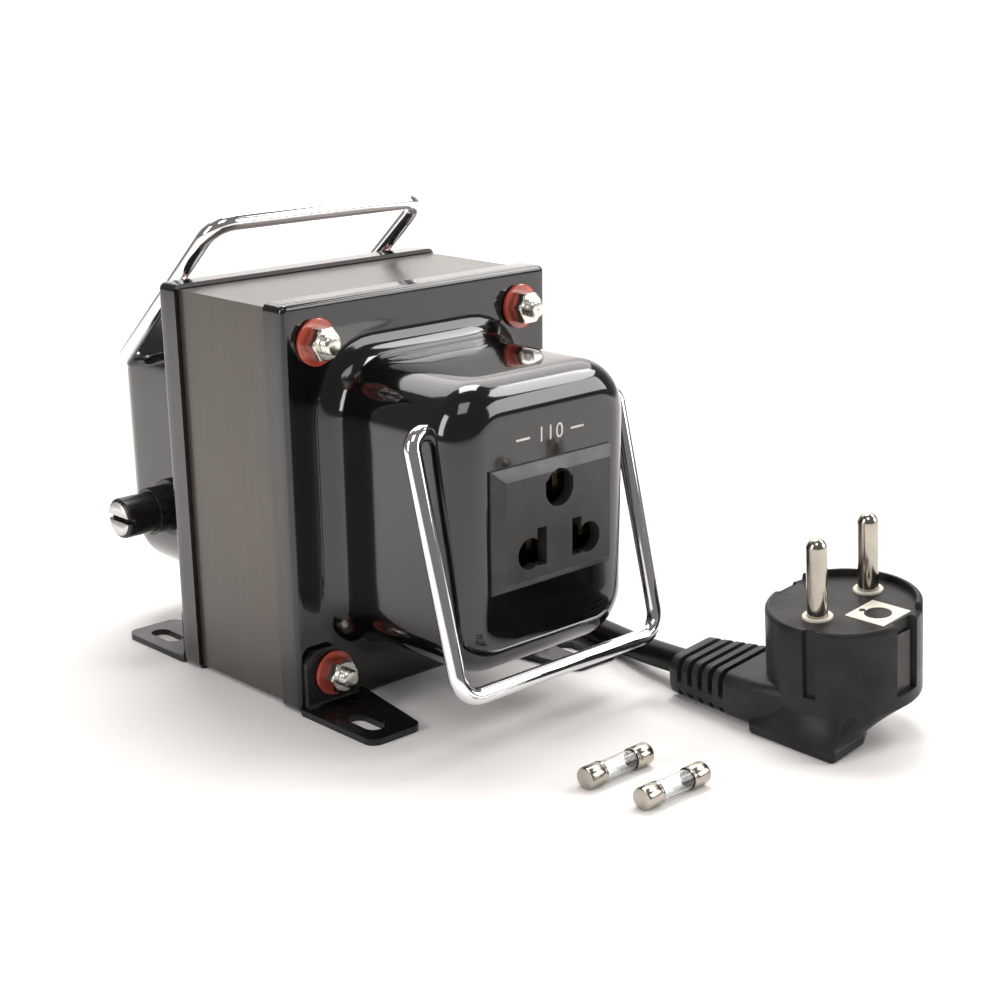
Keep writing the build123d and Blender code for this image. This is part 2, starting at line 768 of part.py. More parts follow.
def biarc(start, start_dir, end, end_dir):
    """Two arcs, smooth where they meet, between two points with given directions."""
    chord = end - start
    both = start_dir + end_dir
    rest = 2 * (1 - start_dir.dot(end_dir))
    reach = chord.dot(both)
    d = (-reach + math.sqrt(reach ** 2 + rest * chord.dot(chord))) / rest
    joint = (start + end + (start_dir - end_dir) * d) * 0.5
    first = TangentArc(start, joint, tangent=start_dir)
    second = TangentArc(joint, end, tangent=first % 1)
    return [first, second]


def cord_coil():
    """The stored loops: two layers, wound inwards above and outwards again on the floor."""
    states = [coil_state(q) for q in range(coil_quarters + 1)]
    edges = [Line(coil_start, states[0][0])]
    for (p, t), (q, u) in zip(states, states[1:]):
        edges += biarc(p, t, q, u)
    edges.append(Line(states[-1][0], coil_end))
    path = Wire([edge for part in edges for edge in part.edges()])
    section = Plane(coil_start, z_dir=(-1, 0, 0)) * Circle(cord_r)
    coil = as_solid(sweep(section, path=path))
    expected = math.pi * cord_r ** 2 * path.length
    print("cord_coil length", round(path.length, 1), "volume ratio", round(coil.volume / expected, 4))
    count = int(path.length / cord_r)
    samples = [path.position_at(n / count) for n in range(count + 1)]
    step = path.length / count
    apart = int(4 * cord_d / step)
    least = min((samples[i] - samples[j]).length
                for i in range(len(samples)) for j in range(i + apart, len(samples)))
    print("cord_coil least gap to itself", round(least - cord_d, 2))
    return coil


def make_cord():
    """Bushing with its tapered sleeve, the two free stretches and the coil."""
    seat = Plane((bushing_x, bell_width / 2, bushing_z), x_dir=(1, 0, 0), z_dir=(0, 1, 0))
    sleeve_end = bushing_head + bushing_sleeve
    bushing = turned([(0, -sheet - bushing_collar), (bushing_collar_r, -sheet - bushing_collar),
                      (bushing_collar_r, -sheet), (bushing_neck_r, -sheet), (bushing_neck_r, 0),
                      (bushing_head_r, 0), (bushing_head_r, bushing_head),
                      (bushing_sleeve_root_r, bushing_head), (bushing_sleeve_tip_r, sleeve_end),
                      (0, sleeve_end)])
    for n in range(bushing_grooves):
        z = bushing_head + bushing_sleeve * (n + 1) / (bushing_grooves + 1)
        ring = Circle(bushing_head_r) - Circle(bushing_groove_floor_r)
        bushing -= Pos(0, 0, z - bushing_groove / 2) * extrude(ring, bushing_groove)
    return {
        "cord_bushing": [seat * as_solid(bushing)],
        "cord_lead": [cord_tube("cord_lead", lead_route)],
        "cord_coil": [cord_coil()],
        "cord_tail": [cord_tube("cord_tail", tail_route)],
    }


# Plug

def plug_body():
    """Moulded plug in its own frame: the face at z = 0, the pins up, the arm towards -X."""
    base = Pos(0, 0, -plug_base_depth) * RectangleRounded(plug_base_length, plug_base_width,
                                                          plug_base_corner_r)
    top = RectangleRounded(2 * plug_face_r, 2 * plug_face_r, plug_face_r - plug_face_edge_r)
    body = loft([base.face(), top.face()])
    arm = box_between(arm_end_x, 0, arm_y - arm_width / 2, arm_y + arm_width / 2,
                      -arm_bottom_depth, -arm_bottom_depth + arm_height)
    arm = fillet(arm.edges().filter_by(Axis.X), arm_edge_r)
    body += arm
    pitch = rib_thickness + rib_gap
    mid_arm = -arm_bottom_depth + arm_height / 2
    for n in range(rib_count):
        x = arm_end_x + rib_thickness + n * pitch
        gap = box_between(x, x + rib_gap, arm_y - arm_width, arm_y + arm_width,
                          mid_arm - arm_height, mid_arm + arm_height)
        gap -= box_between(x - overrun, x + rib_gap + overrun,
                           arm_y - rib_core_width / 2, arm_y + rib_core_width / 2,
                           mid_arm - rib_core_height / 2, mid_arm + rib_core_height / 2)
        body -= gap
    wedge = Plane.YZ * Polygon((-plug_base_width / 2, -plug_base_depth),
                               (plug_base_width / 2, -plug_base_depth),
                               (plug_base_width / 2, -plug_base_depth + plug_base_rise), align=None)
    body -= Pos(-plug_base_length / 2 - overrun, 0, 0) * extrude(wedge, plug_base_length + 2 * overrun)
    return body


def make_plug():
    """Plug body, pins with their collars, earth clips and the earth socket."""
    body = plug_body()
    pins = []
    collars = []
    for side in (-1, 1):
        y = side * pin_pitch / 2
        pin = Pos(0, y, -pin_root) * extrude(Circle(pin_r), pin_root + pin_length)
        pins.append(fillet(pin.edges().sort_by(Axis.Z)[-1], pin_tip_r))
        collar = Circle(pin_collar_r) - Circle(pin_r + pin_fit)
        collars.append(Pos(0, y, 0) * extrude(collar, pin_collar_height))
        body -= Pos(0, y, -pin_root) * extrude(Circle(pin_r + pin_fit), pin_root + overrun)
    half = earth_plate / 2
    plate = box_between(earth_plate_x - half, earth_plate_x + half, -half, half,
                        -earth_plate_thickness, 0)
    tube = Pos(earth_plate_x, 0, -earth_tube_depth) * extrude(Circle(earth_tube_r), earth_tube_depth)
    bore = Pos(earth_plate_x, 0, -earth_tube_depth + earth_plate_thickness)
    bore = bore * extrude(Circle(earth_bore_r), earth_tube_depth + overrun)
    socket = plate + tube - bore
    body -= plate
    body -= Pos(earth_plate_x, 0, -earth_tube_depth) * extrude(Circle(earth_tube_r + pin_fit),
                                                               earth_tube_depth)
    clips = []
    for side in (-1, 1):
        x = side * plug_face_r
        floor_x = x - side * groove_depth
        low, high = sorted((floor_x, x + side * 2 * overrun))
        body -= box_between(low, high, -groove_width / 2, groove_width / 2, -groove_length, overrun)
        low, high = sorted((floor_x, floor_x + side * clip_sheet))
        clips.append(box_between(low, high, -clip_width / 2, clip_width / 2,
                                 -clip_top_gap - clip_length, -clip_top_gap))
    place = Pos(plug_x, plug_y, plug_z) * Rot(plug_roll, 0, 0)
    nodes = {
        "plug_body": [as_solid(body)],
        "plug_pins": pins,
        "plug_pin_collars": collars,
        "plug_earth_clips": clips,
        "plug_earth_socket": [as_solid(socket)],
    }
    return {name: [place * solid for solid in solids] for name, solids in nodes.items()}


def write_parts(nodes):
    """One STEP file for each node."""
    os.makedirs("parts", exist_ok=True)
    for name, solids in nodes.items():
        pieces = [solid for part in solids for solid in part.solids()]
        shape = pieces[0] if len(pieces) == 1 else Compound(children=pieces)
        export_step(shape, f"parts/{name}.step")


def main():
    nodes = {}
    for make in (make_core, make_winding, make_bells, make_feet, make_fasteners, make_outlet,
                 make_fuse_holder, make_spare_fuses, make_handles, make_cord, make_plug):
        nodes.update(make())
    write_parts(nodes)


main()
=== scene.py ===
"""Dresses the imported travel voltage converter: finishes, wire, enamel, cord and a pale studio."""

import logging
import math
from collections.abc import Callable
from dataclasses import dataclass, field
from enum import Enum

import bmesh
import bpy
import numpy as np
from mathutils import Matrix, Vector


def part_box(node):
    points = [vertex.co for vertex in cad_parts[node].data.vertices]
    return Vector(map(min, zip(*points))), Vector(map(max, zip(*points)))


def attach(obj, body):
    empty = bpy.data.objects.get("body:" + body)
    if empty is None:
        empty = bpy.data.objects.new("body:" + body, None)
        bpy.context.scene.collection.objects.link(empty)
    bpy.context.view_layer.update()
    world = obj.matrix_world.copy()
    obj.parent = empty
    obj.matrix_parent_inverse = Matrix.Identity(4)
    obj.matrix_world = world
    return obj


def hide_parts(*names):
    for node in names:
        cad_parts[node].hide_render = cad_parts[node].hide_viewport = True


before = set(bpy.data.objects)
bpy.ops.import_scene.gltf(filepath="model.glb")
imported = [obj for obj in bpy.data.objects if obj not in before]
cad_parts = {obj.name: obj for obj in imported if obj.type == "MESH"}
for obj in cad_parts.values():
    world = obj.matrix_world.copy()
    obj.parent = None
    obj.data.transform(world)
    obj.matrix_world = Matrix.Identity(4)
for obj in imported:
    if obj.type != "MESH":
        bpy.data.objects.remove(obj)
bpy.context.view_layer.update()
LOG = logging.getLogger("converter")
MM = 0.001
POLE = 0.01 * MM
TURN = 2 * math.pi
QUARTER = math.pi / 2
UPRIGHT_SHARE = 0.9
SAME_POINT = 0.0001 * MM
SAME_CAD_POINT = 0.002 * MM
FLAT_CAD_TURN = 0.4
SHARP_TURN = 38.0
SHARP_CAD_TURN = 34.0
FRONT_SWING = 14.9
REAR_SWING = 130.932
Array = np.ndarray
Material = bpy.types.Material


class Side(Enum):
    """Which way along X a mirrored piece faces."""

    FRONT = 1
    REAR = -1

    def word(self) -> str:
        """The side's word in the names of pieces."""
        return self.name.lower()


class Seam(Enum):
    """How a grid of points closes."""

    OPEN = 0
    ROUND = 1


class Sock:
    """A shader socket that takes part in Python arithmetic."""

    def __init__(self, shader: "Shader", socket: bpy.types.NodeSocket) -> None:
        """Keeps the shader and its socket."""
        self.shader = shader
        self.socket = socket

    def _math(self, operation: str, *values: object) -> "Sock":
        """A Math node over the values."""
        inputs = {n: v for n, v in enumerate(values)}
        return self.shader.node("ShaderNodeMath", {"operation": operation}, inputs)

    def __add__(self, other: object) -> "Sock":
        """Sum."""
        return self._math("ADD", self, other)

    __radd__ = __add__

    def __mul__(self, other: object) -> "Sock":
        """Product."""
        return self._math("MULTIPLY", self, other)

    __rmul__ = __mul__

    def sine(self) -> "Sock":
        """Sine."""
        return self._math("SINE", self)


class Shader:
    """Builds one node material around a Principled shader."""

    def __init__(self, name: str) -> None:
        """Starts an empty material.

        Args:
            name: the material's name.
        """
        self.material = bpy.data.materials.new(name)
        self.material.use_nodes = True
        self.tree = self.material.node_tree
        self.surface = self.tree.nodes["Principled BSDF"]

    def node(self, kind: str, settings: dict, inputs: dict, output: int | str = 0) -> Sock:
        """Adds a node.

        Args:
            kind: the node's type.
            settings: properties set first; "stops" fills a colour ramp.
            inputs: values or links by socket name or number.
            output: the output that is returned.

        Returns:
            The chosen output socket.
        """
        made = self.tree.nodes.new(kind)
        for key, value in settings.items():
            if key == "stops":
                self._fill_ramp(made.color_ramp, value)
            else:
                setattr(made, key, value)
        for key, value in inputs.items():
            self._feed(made.inputs[key], value)
        return Sock(self, made.outputs[output])

    def _fill_ramp(self, ramp: bpy.types.ColorRamp, stops: list) -> None:
        """Writes the stops of a ramp.

        Args:
            ramp: the colour ramp.
            stops: pairs of a place from 0 to 1 and a colour.
        """
        while len(ramp.elements) < len(stops):
            ramp.elements.new(1.0)
        for element, (place, colour) in zip(ramp.elements, stops):
            element.position = place
            element.color = (*colour, 1.0)

    def _feed(self, socket: bpy.types.NodeSocket, value: object) -> None:
        """Links or sets one input.

        Args:
            socket: the input.
            value: a Sock to link, or a plain value to set.
        """
        if isinstance(value, Sock):
            self.tree.links.new(value.socket, socket)
        else:
            socket.default_value = value

    def place(self, scale: tuple) -> Sock:
        """Object coordinates, stretched by a scale."""
        coords = self.node("ShaderNodeTexCoord", {}, {}, "Object")
        return self.node("ShaderNodeMapping", {}, {"Vector": coords, "Scale": scale})

    def noise(self, scale: float, detail: float = 3.0, stretch: tuple = (1.0, 1.0, 1.0)) -> Sock:
        """Noise from 0 to 1 on Object coordinates."""
        inputs = {"Vector": self.place(stretch), "Scale": scale, "Detail": detail}
        return self.node("ShaderNodeTexNoise", {}, inputs)

    def along(self, axis: str) -> Sock:
        """One Object coordinate in metres."""
        coords = self.node("ShaderNodeTexCoord", {}, {}, "Object")
        return self.node("ShaderNodeSeparateXYZ", {}, {"Vector": coords}, axis)

    def ramp(self, factor: Sock, stops: list) -> Sock:
        """Colours over a factor."""
        return self.node("ShaderNodeValToRGB", {"stops": stops}, {"Fac": factor})

    def bump(self, height: Sock, depth: float, **more: object) -> Sock:
        """Normal from a height of 0 to 1 and its depth in metres, with the node's other inputs."""
        return self.node("ShaderNodeBump", {}, {"Height": height, "Distance": depth, **more})

    def finish(self, linked: dict, constants: dict) -> Material:
        """Feeds the Principled shader.

        Args:
            linked: inputs that vary over the surface.
            constants: inputs that are the same all over.

        Returns:
            The finished material.
        """
        for key, value in {**constants, **linked}.items():
            self._feed(self.surface.inputs[key], value)
        return self.material


def shade(colour: tuple, factor: float) -> tuple:
    """A colour made lighter or darker by a factor."""
    return tuple(min(1.0, c * factor) for c in colour)


@dataclass(frozen=True)
class Coating:
    """A dielectric finish: enamel, plastic, fibre or rubber.

    Mottle is the share by which the colour varies; cloud, sheen, grain and wave are noise scales.
    """

    name: str
    colour: tuple
    roughness: float
    mottle: float = 0.25
    cloud: float = 140.0
    sheen: float = 260.0
    grain: float = 900.0
    grain_depth: float = 0.01 * MM
    wave: float = 60.0
    wave_depth: float = 0.0
    coat: float = 0.0
    coat_roughness: float = 0.04
    gloss: float = 0.5

    def make(self) -> Material:
        """Mottled colour, uneven gloss, fine grain over a slow waviness.

        Returns:
            The material.
        """
        s = Shader(self.name)
        low, high = shade(self.colour, 1 - self.mottle), shade(self.colour, 1 + self.mottle)
        base = s.ramp(s.noise(self.cloud), [(0.3, low), (0.7, high)])
        rough = s.noise(self.sheen, 5.0) * (self.roughness * 0.5) + self.roughness * 0.75
        normal = s.bump(s.noise(self.grain, 2.0), self.grain_depth)
        if self.wave_depth:
            normal = s.bump(s.noise(self.wave, 1.0), self.wave_depth, Normal=normal)
        return s.finish({"Base Color": base, "Roughness": rough, "Normal": normal},
                        {"Coat Weight": self.coat, "Coat Roughness": self.coat_roughness,
                         "Specular IOR Level": self.gloss})


@dataclass(frozen=True)
class Metal:
    """A plated or bare metal; cloud, sheen and scratches are noise scales."""

    name: str
    colour: tuple
    roughness: float
    stretch: tuple = (1.0, 1.0, 1.0)
    tarnish: float = 0.12
    cloud: float = 180.0
    sheen: float = 420.0
    scratches: float = 1400.0
    depth: float = 0.004 * MM

    def make(self) -> Material:
        """Metal with faint tarnish, uneven gloss and fine scratches.

        Returns:
            The material.
        """
        s = Shader(self.name)
        dull = shade(self.colour, 1 - self.tarnish)
        base = s.ramp(s.noise(self.cloud, 4.0), [(0.25, dull), (0.75, self.colour)])
        rough = s.noise(self.sheen, 6.0, self.stretch) * self.roughness + self.roughness * 0.5
        normal = s.bump(s.noise(self.scratches, 3.0, self.stretch), self.depth)
        return s.finish({"Base Color": base, "Roughness": rough, "Normal": normal},
                        {"Metallic": 1.0})


@dataclass(frozen=True)
class LaminatedEdge:
    """Varnished edges of stacked steel sheets, lines across X."""

    name: str = "laminated_edge"
    colour: tuple = (0.074, 0.060, 0.052)
    sheet: float = 0.5 * MM
    band_stretch: tuple = (900.0, 9.0, 9.0)
    stain: float = 38.0
    depth: float = 0.01 * MM
    metallic: float = 0.4
    coat: float = 0.45
    coat_roughness: float = 0.16

    def make(self) -> Material:
        """A sine over X draws the sheets, long noise varies them one from another.

        Returns:
            The material.
        """
        s = Shader(self.name)
        lines = (s.along("X") * (TURN / self.sheet)).sine() * 0.5 + 0.5
        bands = s.noise(1.0, 4.0, self.band_stretch)
        stains = s.noise(self.stain, 6.0)
        tone = bands * 0.35 + stains * 0.5 + lines * 0.15
        base = s.ramp(tone, [(0.2, shade(self.colour, 0.75)), (0.5, self.colour),
                             (0.8, shade(self.colour, 1.3))])
        rough = stains * 0.16 + bands * 0.06 + 0.24
        normal = s.bump(lines * 0.5 + bands * 0.4, self.depth, Strength=0.4)
        return s.finish({"Base Color": base, "Roughness": rough, "Normal": normal},
                        {"Metallic": self.metallic, "Coat Weight": self.coat,
                         "Coat Roughness": self.coat_roughness})


@dataclass(frozen=True)
class ClearGlass:
    """Thin tube glass."""

    name: str = "tube_glass"
    colour: tuple = (0.97, 0.98, 0.98, 1.0)
    refraction: float = 1.47
    depth: float = 0.01 * MM

    def make(self) -> Material:
        """Clear glass with a faint unevenness.

        Returns:
            The material.
        """
        s = Shader(self.name)
        rough = s.noise(300.0) * 0.04
        normal = s.bump(s.noise(220.0, 1.0), self.depth)
        return s.finish({"Roughness": rough, "Normal": normal},
                        {"Base Color": self.colour, "Transmission Weight": 1.0,
                         "IOR": self.refraction})


@dataclass(frozen=True)
class StudioPaper:
    """Matt paper of the floor and wall."""

    name: str = "studio_paper"
    low: tuple = (0.93, 0.915, 0.90)
    high: tuple = (0.945, 0.93, 0.915)
    roughness: float = 0.9
    gloss: float = 0.1

    def make(self) -> Material:
        """Nearly even, warm white.

        Returns:
            The material.
        """
        s = Shader(self.name)
        base = s.ramp(s.noise(3.0), [(0.3, self.low), (0.7, self.high)])
        return s.finish({"Base Color": base}, {"Roughness": self.roughness,
                                               "Specular IOR Level": self.gloss})


def made(finish: Coating | Metal | LaminatedEdge | ClearGlass) -> Material:
    """A dataclass field whose material is made with the finishes."""
    return field(default_factory=finish.make)


@dataclass
class Finishes:
    """Every material of the object, made once."""

    enamel: Material = made(Coating("black_enamel", (0.0032, 0.0030, 0.0031), 0.10, grain=700.0,
                                    grain_depth=0.004 * MM, wave=42.0, wave_depth=0.05 * MM, coat=0.6))
    foot_enamel: Material = made(Coating("foot_enamel", (0.006, 0.0056, 0.0056), 0.26,
                                         grain_depth=0.012 * MM))
    laminated: Material = made(LaminatedEdge())
    chrome: Material = made(Metal("chrome_wire", (0.86, 0.86, 0.87), 0.07, tarnish=0.05,
                                  depth=0.001 * MM))
    nickel: Material = made(Metal("nickel", (0.80, 0.78, 0.72), 0.20))
    pin_nickel: Material = made(Metal("pin_nickel", (0.50, 0.46, 0.40), 0.16, tarnish=0.25))
    brushed: Material = made(Metal("brushed_disc", (0.78, 0.77, 0.75), 0.5, stretch=(1.0, 1.0, 12.0)))
    # The nickel earth clips get a near-black colour: painted shade of the deep grooves they sit in.
    clip_painted_shade: Material = made(Metal("clip_painted_shade", (0.06, 0.057, 0.054), 0.4))
    brass: Material = made(Metal("brass", (0.78, 0.60, 0.30), 0.24))
    copper: Material = made(Metal("copper_wire", (0.62, 0.28, 0.14), 0.3, stretch=(1.0, 14.0, 1.0)))
    fibre: Material = made(Coating("red_fibre", (0.50, 0.075, 0.048), 0.22, mottle=0.4, coat=0.8))
    plastic: Material = made(Coating("black_plastic", (0.012, 0.0115, 0.0115), 0.28))
    outlet_plastic: Material = made(Coating("outlet_plastic", (0.032, 0.031, 0.030), 0.40))
    plug_vinyl: Material = made(Coating("plug_vinyl", (0.024, 0.0235, 0.023), 0.36, grain=1600.0,
                                        grain_depth=0.02 * MM, gloss=0.14))
    cord_vinyl: Material = made(Coating("cord_vinyl", (0.009, 0.0087, 0.0087), 0.34, grain=1200.0,
                                        grain_depth=0.02 * MM, gloss=0.14))
    cream: Material = made(Coating("cream_plastic", (0.74, 0.69, 0.60), 0.38, mottle=0.08))
    tape: Material = made(Coating("winding_tape", (0.62, 0.44, 0.10), 0.35))
    print_ink: Material = made(Coating("print_ink", (0.62, 0.61, 0.58), 0.45, mottle=0.2))
    glass: Material = made(ClearGlass())


def grid_faces(rows: int, columns: int, seam: Seam) -> Array:
    """Quads over a grid of points.

    Args:
        rows: rows of points.
        columns: points in a row.
        seam: a round seam joins the last column to the first.

    Returns:
        Point numbers of shape (faces, 4).
    """
    last = columns if seam is Seam.ROUND else columns - 1
    i, j = np.meshgrid(np.arange(rows - 1), np.arange(last), indexing="ij")
    a = i * columns + j
    b = i * columns + (j + 1) % columns
    return np.stack([a, b, b + columns, a + columns], -1).reshape(-1, 4)


def closed(mesh: bpy.types.Mesh, distance: float, flat: float = 0.0) -> None:
    """Merges doubles, joins faces that lie in one plane, and turns the faces outwards.

    Args:
        mesh: the mesh that is changed.
        distance: points nearer than this are merged, in metres.
        flat: faces that meet at less than this angle in degrees are joined; 0 joins none.
    """
    work = bmesh.new()
    work.from_mesh(mesh)
    bmesh.ops.remove_doubles(work, verts=work.verts, dist=distance)
    if flat:
        bmesh.ops.dissolve_limit(work, angle_limit=math.radians(flat), verts=work.verts,
                                 edges=work.edges)
    bmesh.ops.recalc_face_normals(work, faces=work.faces)
    work.to_mesh(mesh)
    work.free()


def shown(name: str, mesh: bpy.types.Mesh, sharp: float = SHARP_TURN) -> bpy.types.Object:
    """Links a mesh as an object, shaded smooth but for its sharp edges.

    Args:
        name: the object's name.
        mesh: its mesh.
        sharp: edges that turn by more than this angle in degrees stay sharp.

    Returns:
        The object.
    """
    mesh.shade_smooth()
    mesh.set_sharp_from_angle(angle=math.radians(sharp))
    piece = bpy.data.objects.new(name, mesh)
    bpy.context.scene.collection.objects.link(piece)
    return piece


def surface(name: str, grids: list, seam: Seam = Seam.ROUND, caps: bool = False) -> bpy.types.Object:
    """Makes one object from grids of points.

    Args:
        name: the object's name.
        grids: arrays of shape (rows, columns, 3), in metres.
        seam: how the columns close.
        caps: closes the first and last row with one face each.

    Returns:
        The object, smooth shaded, its normals outwards.
    """
    points, faces, start = [], [], 0
    for grid in grids:
        rows, columns = grid.shape[:2]
        points.append(grid.reshape(-1, 3))
        faces += (grid_faces(rows, columns, seam) + start).tolist()
        if caps:
            faces.append((start + np.arange(columns)).tolist())
            faces.append((start + (rows - 1) * columns + np.arange(columns)).tolist())
        start += rows * columns
    mesh = bpy.data.meshes.new(name)
    mesh.from_pydata(np.concatenate(points).tolist(), [], faces)
    closed(mesh, SAME_POINT)
    return shown(name, mesh)


def refined(node: str, name: str, bevel: float) -> bpy.types.Object:
    """A copy of a CAD node, merged, with softened edges.

    Args:
        node: the CAD node.
        name: the new piece's name.
        bevel: width of the softened edges in metres.

    Returns:
        The piece.
    """
    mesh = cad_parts[node].data.copy()
    mesh.name = name
    closed(mesh, SAME_CAD_POINT, FLAT_CAD_TURN)
    piece = shown(name, mesh, SHARP_CAD_TURN)
    soft = piece.modifiers.new("soft_edges", "BEVEL")
    soft.width = bevel
    soft.segments = 2
    soft.limit_method = "ANGLE"
    soft.angle_limit = math.radians(SHARP_TURN)
    soft.harden_normals = True
    return piece


def dress(piece: bpy.types.Object, material: Material, body: str, slot: str,
          *nodes: str) -> bpy.types.Object:
    """Gives a piece its finish and hangs it on its body.

    Args:
        piece: the piece.
        material: its finish.
        body: the body that it rides on.
        slot: not used.
        nodes: the CAD nodes that it stands for.

    Returns:
        The same piece.
    """
    piece.data.materials.clear()
    piece.data.materials.append(material)
    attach(piece, body)
    if nodes:
        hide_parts(*nodes)
    LOG.info("%s in %s on %s", piece.name, material.name, body)
    return piece


def paint(material: Material, *nodes: str) -> None:
    """Gives CAD nodes a material.

    Args:
        material: the finish.
        nodes: names of the nodes.
    """
    for node in nodes:
        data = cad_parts[node].data
        data.materials.clear()
        data.materials.append(material)
        LOG.info("%s in %s", node, material.name)


def rounded_loop(half_y: float, half_z: float, r: float, side: int = 6, corner: int = 10) -> Array:
    """Rounded rectangle in Y and Z.

    Each corner is a quarter circle of radius r about (half - r); each side is divided evenly.

    Args:
        half_y: half the width.
        half_z: half the height.
        r: corner radius.
        side: points along each straight side.
        corner: points round each corner.

    Returns:
        Points of shape (4 * (side + corner), 2).
    """
    out = []
    centres = [(1, 1), (-1, 1), (-1, -1), (1, -1)]
    for n, (sy, sz) in enumerate(centres):
        angle = QUARTER * (n + np.linspace(0, 1, corner))
        centre = np.array([sy * (half_y - r), sz * (half_z - r)])
        arc = centre + r * np.stack([np.cos(angle), np.sin(angle)], -1)
        ny, nz = centres[(n + 1) % 4]
        after = QUARTER * (n + 1)
        start = np.array([ny * (half_y - r), nz * (half_z - r)])
        start = start + r * np.array([math.cos(after), math.sin(after)])
        t = np.linspace(0, 1, side + 2)[1:-1, None]
        out += [arc, arc[-1] + t * (start - arc[-1])]
    return np.concatenate(out)


def lathe(profile: list, axis_point: tuple, axis: tuple, segments: int = 48,
          radius: Callable[[Array, Array, Array], Array] | None = None) -> Array:
    """Surface of revolution: each (radius, height) of the profile goes round the axis.

    Args:
        profile: pairs of radius and height along the axis.
        axis_point: a point on the axis.
        axis: the axis's direction.
        segments: points round the axis.
        radius: a function of (radii, heights, angles) that changes the radius, or None.

    Returns:
        Points of shape (rows, segments, 3).
    """
    along = Vector(axis).normalized()
    side = along.orthogonal().normalized()
    if abs(along.z) < UPRIGHT_SHARE:
        side = (Vector((0, 0, 1)) - along * along.z).normalized()
    other = along.cross(side)
    rh = np.array(profile, float)
    angle = np.linspace(0, TURN, segments, endpoint=False)
    r = np.repeat(rh[:, :1], segments, 1)
    h = np.repeat(rh[:, 1:], segments, 1)
    a = np.repeat(angle[None], len(rh), 0)
    if radius is not None:
        r = radius(r, h, a)
    return (np.array(axis_point) + h[..., None] * np.array(along)
            + (r * np.cos(a))[..., None] * np.array(side)
            + (r * np.sin(a))[..., None] * np.array(other))


def wire_path(points: list, radii: tuple, arc: int) -> Array:
    """Straight runs joined by tangent arcs, for a bent metal wire.

    At each corner a circle of the bend's radius touches both runs. Its points turn evenly from one
    touching point to the other, each the sum of both, weighted by the sines of its shares of the sweep.

    Args:
        points: corners, in metres.
        radii: bend radius of each inner corner.
        arc: points in each arc.

    Returns:
        Points along the wire.
    """
    p = np.array(points, float)
    out = [p[0]]
    for n, r in enumerate(radii, 1):
        a = (p[n - 1] - p[n]) / np.linalg.norm(p[n - 1] - p[n])
        b = (p[n + 1] - p[n]) / np.linalg.norm(p[n + 1] - p[n])
        half = math.acos(float(np.clip(a @ b, -1, 1))) / 2
        centre = p[n] + (a + b) / np.linalg.norm(a + b) * (r / math.sin(half))
        first = p[n] + a * (r / math.tan(half)) - centre
        last = p[n] + b * (r / math.tan(half)) - centre
        sweep = math.pi - 2 * half
        t = np.linspace(0, 1, arc)[:, None]
        bend = (np.sin((1 - t) * sweep) * first + np.sin(t * sweep) * last) / math.sin(sweep)
        out += list(centre + bend)
    out.append(p[-1])
    return np.array(out)


def tube(path: Array, radius: float, up: tuple, segments: int) -> Array:
    """Circle carried along a flat path, square to it.

    Args:
        path: points along the path.
        radius: the circle's radius.
        up: normal of the plane that the path lies in.
        segments: points round the circle.

    Returns:
        Points of shape (points of the path, segments, 3).
    """
    tangent = np.gradient(path, axis=0)
    tangent /= np.linalg.norm(tangent, axis=1)[:, None]
    normal = np.broadcast_to(np.array(up, float), tangent.shape)
    side = np.cross(tangent, normal)
    angle = np.linspace(0, TURN, segments, endpoint=False)[None, :, None]
    ring = np.cos(angle) * normal[:, None] + np.sin(angle) * side[:, None]
    return path[:, None] + radius * ring


@dataclass
class Core:
    """Laminated core and winding, seen between the bells."""

    finishes: Finishes

    def build(self) -> None:
        """Dresses the CAD nodes of the core and of what lies inside."""
        paint(self.finishes.laminated, "e_laminations", "i_laminations")
        paint(self.finishes.copper, "winding")
        paint(self.finishes.tape, "winding_tape")
        paint(self.finishes.cream, "bobbin")
        paint(self.finishes.brass, "contact_line", "contact_neutral", "contact_earth",
              "fuse_side_lug", "fuse_end_lug")


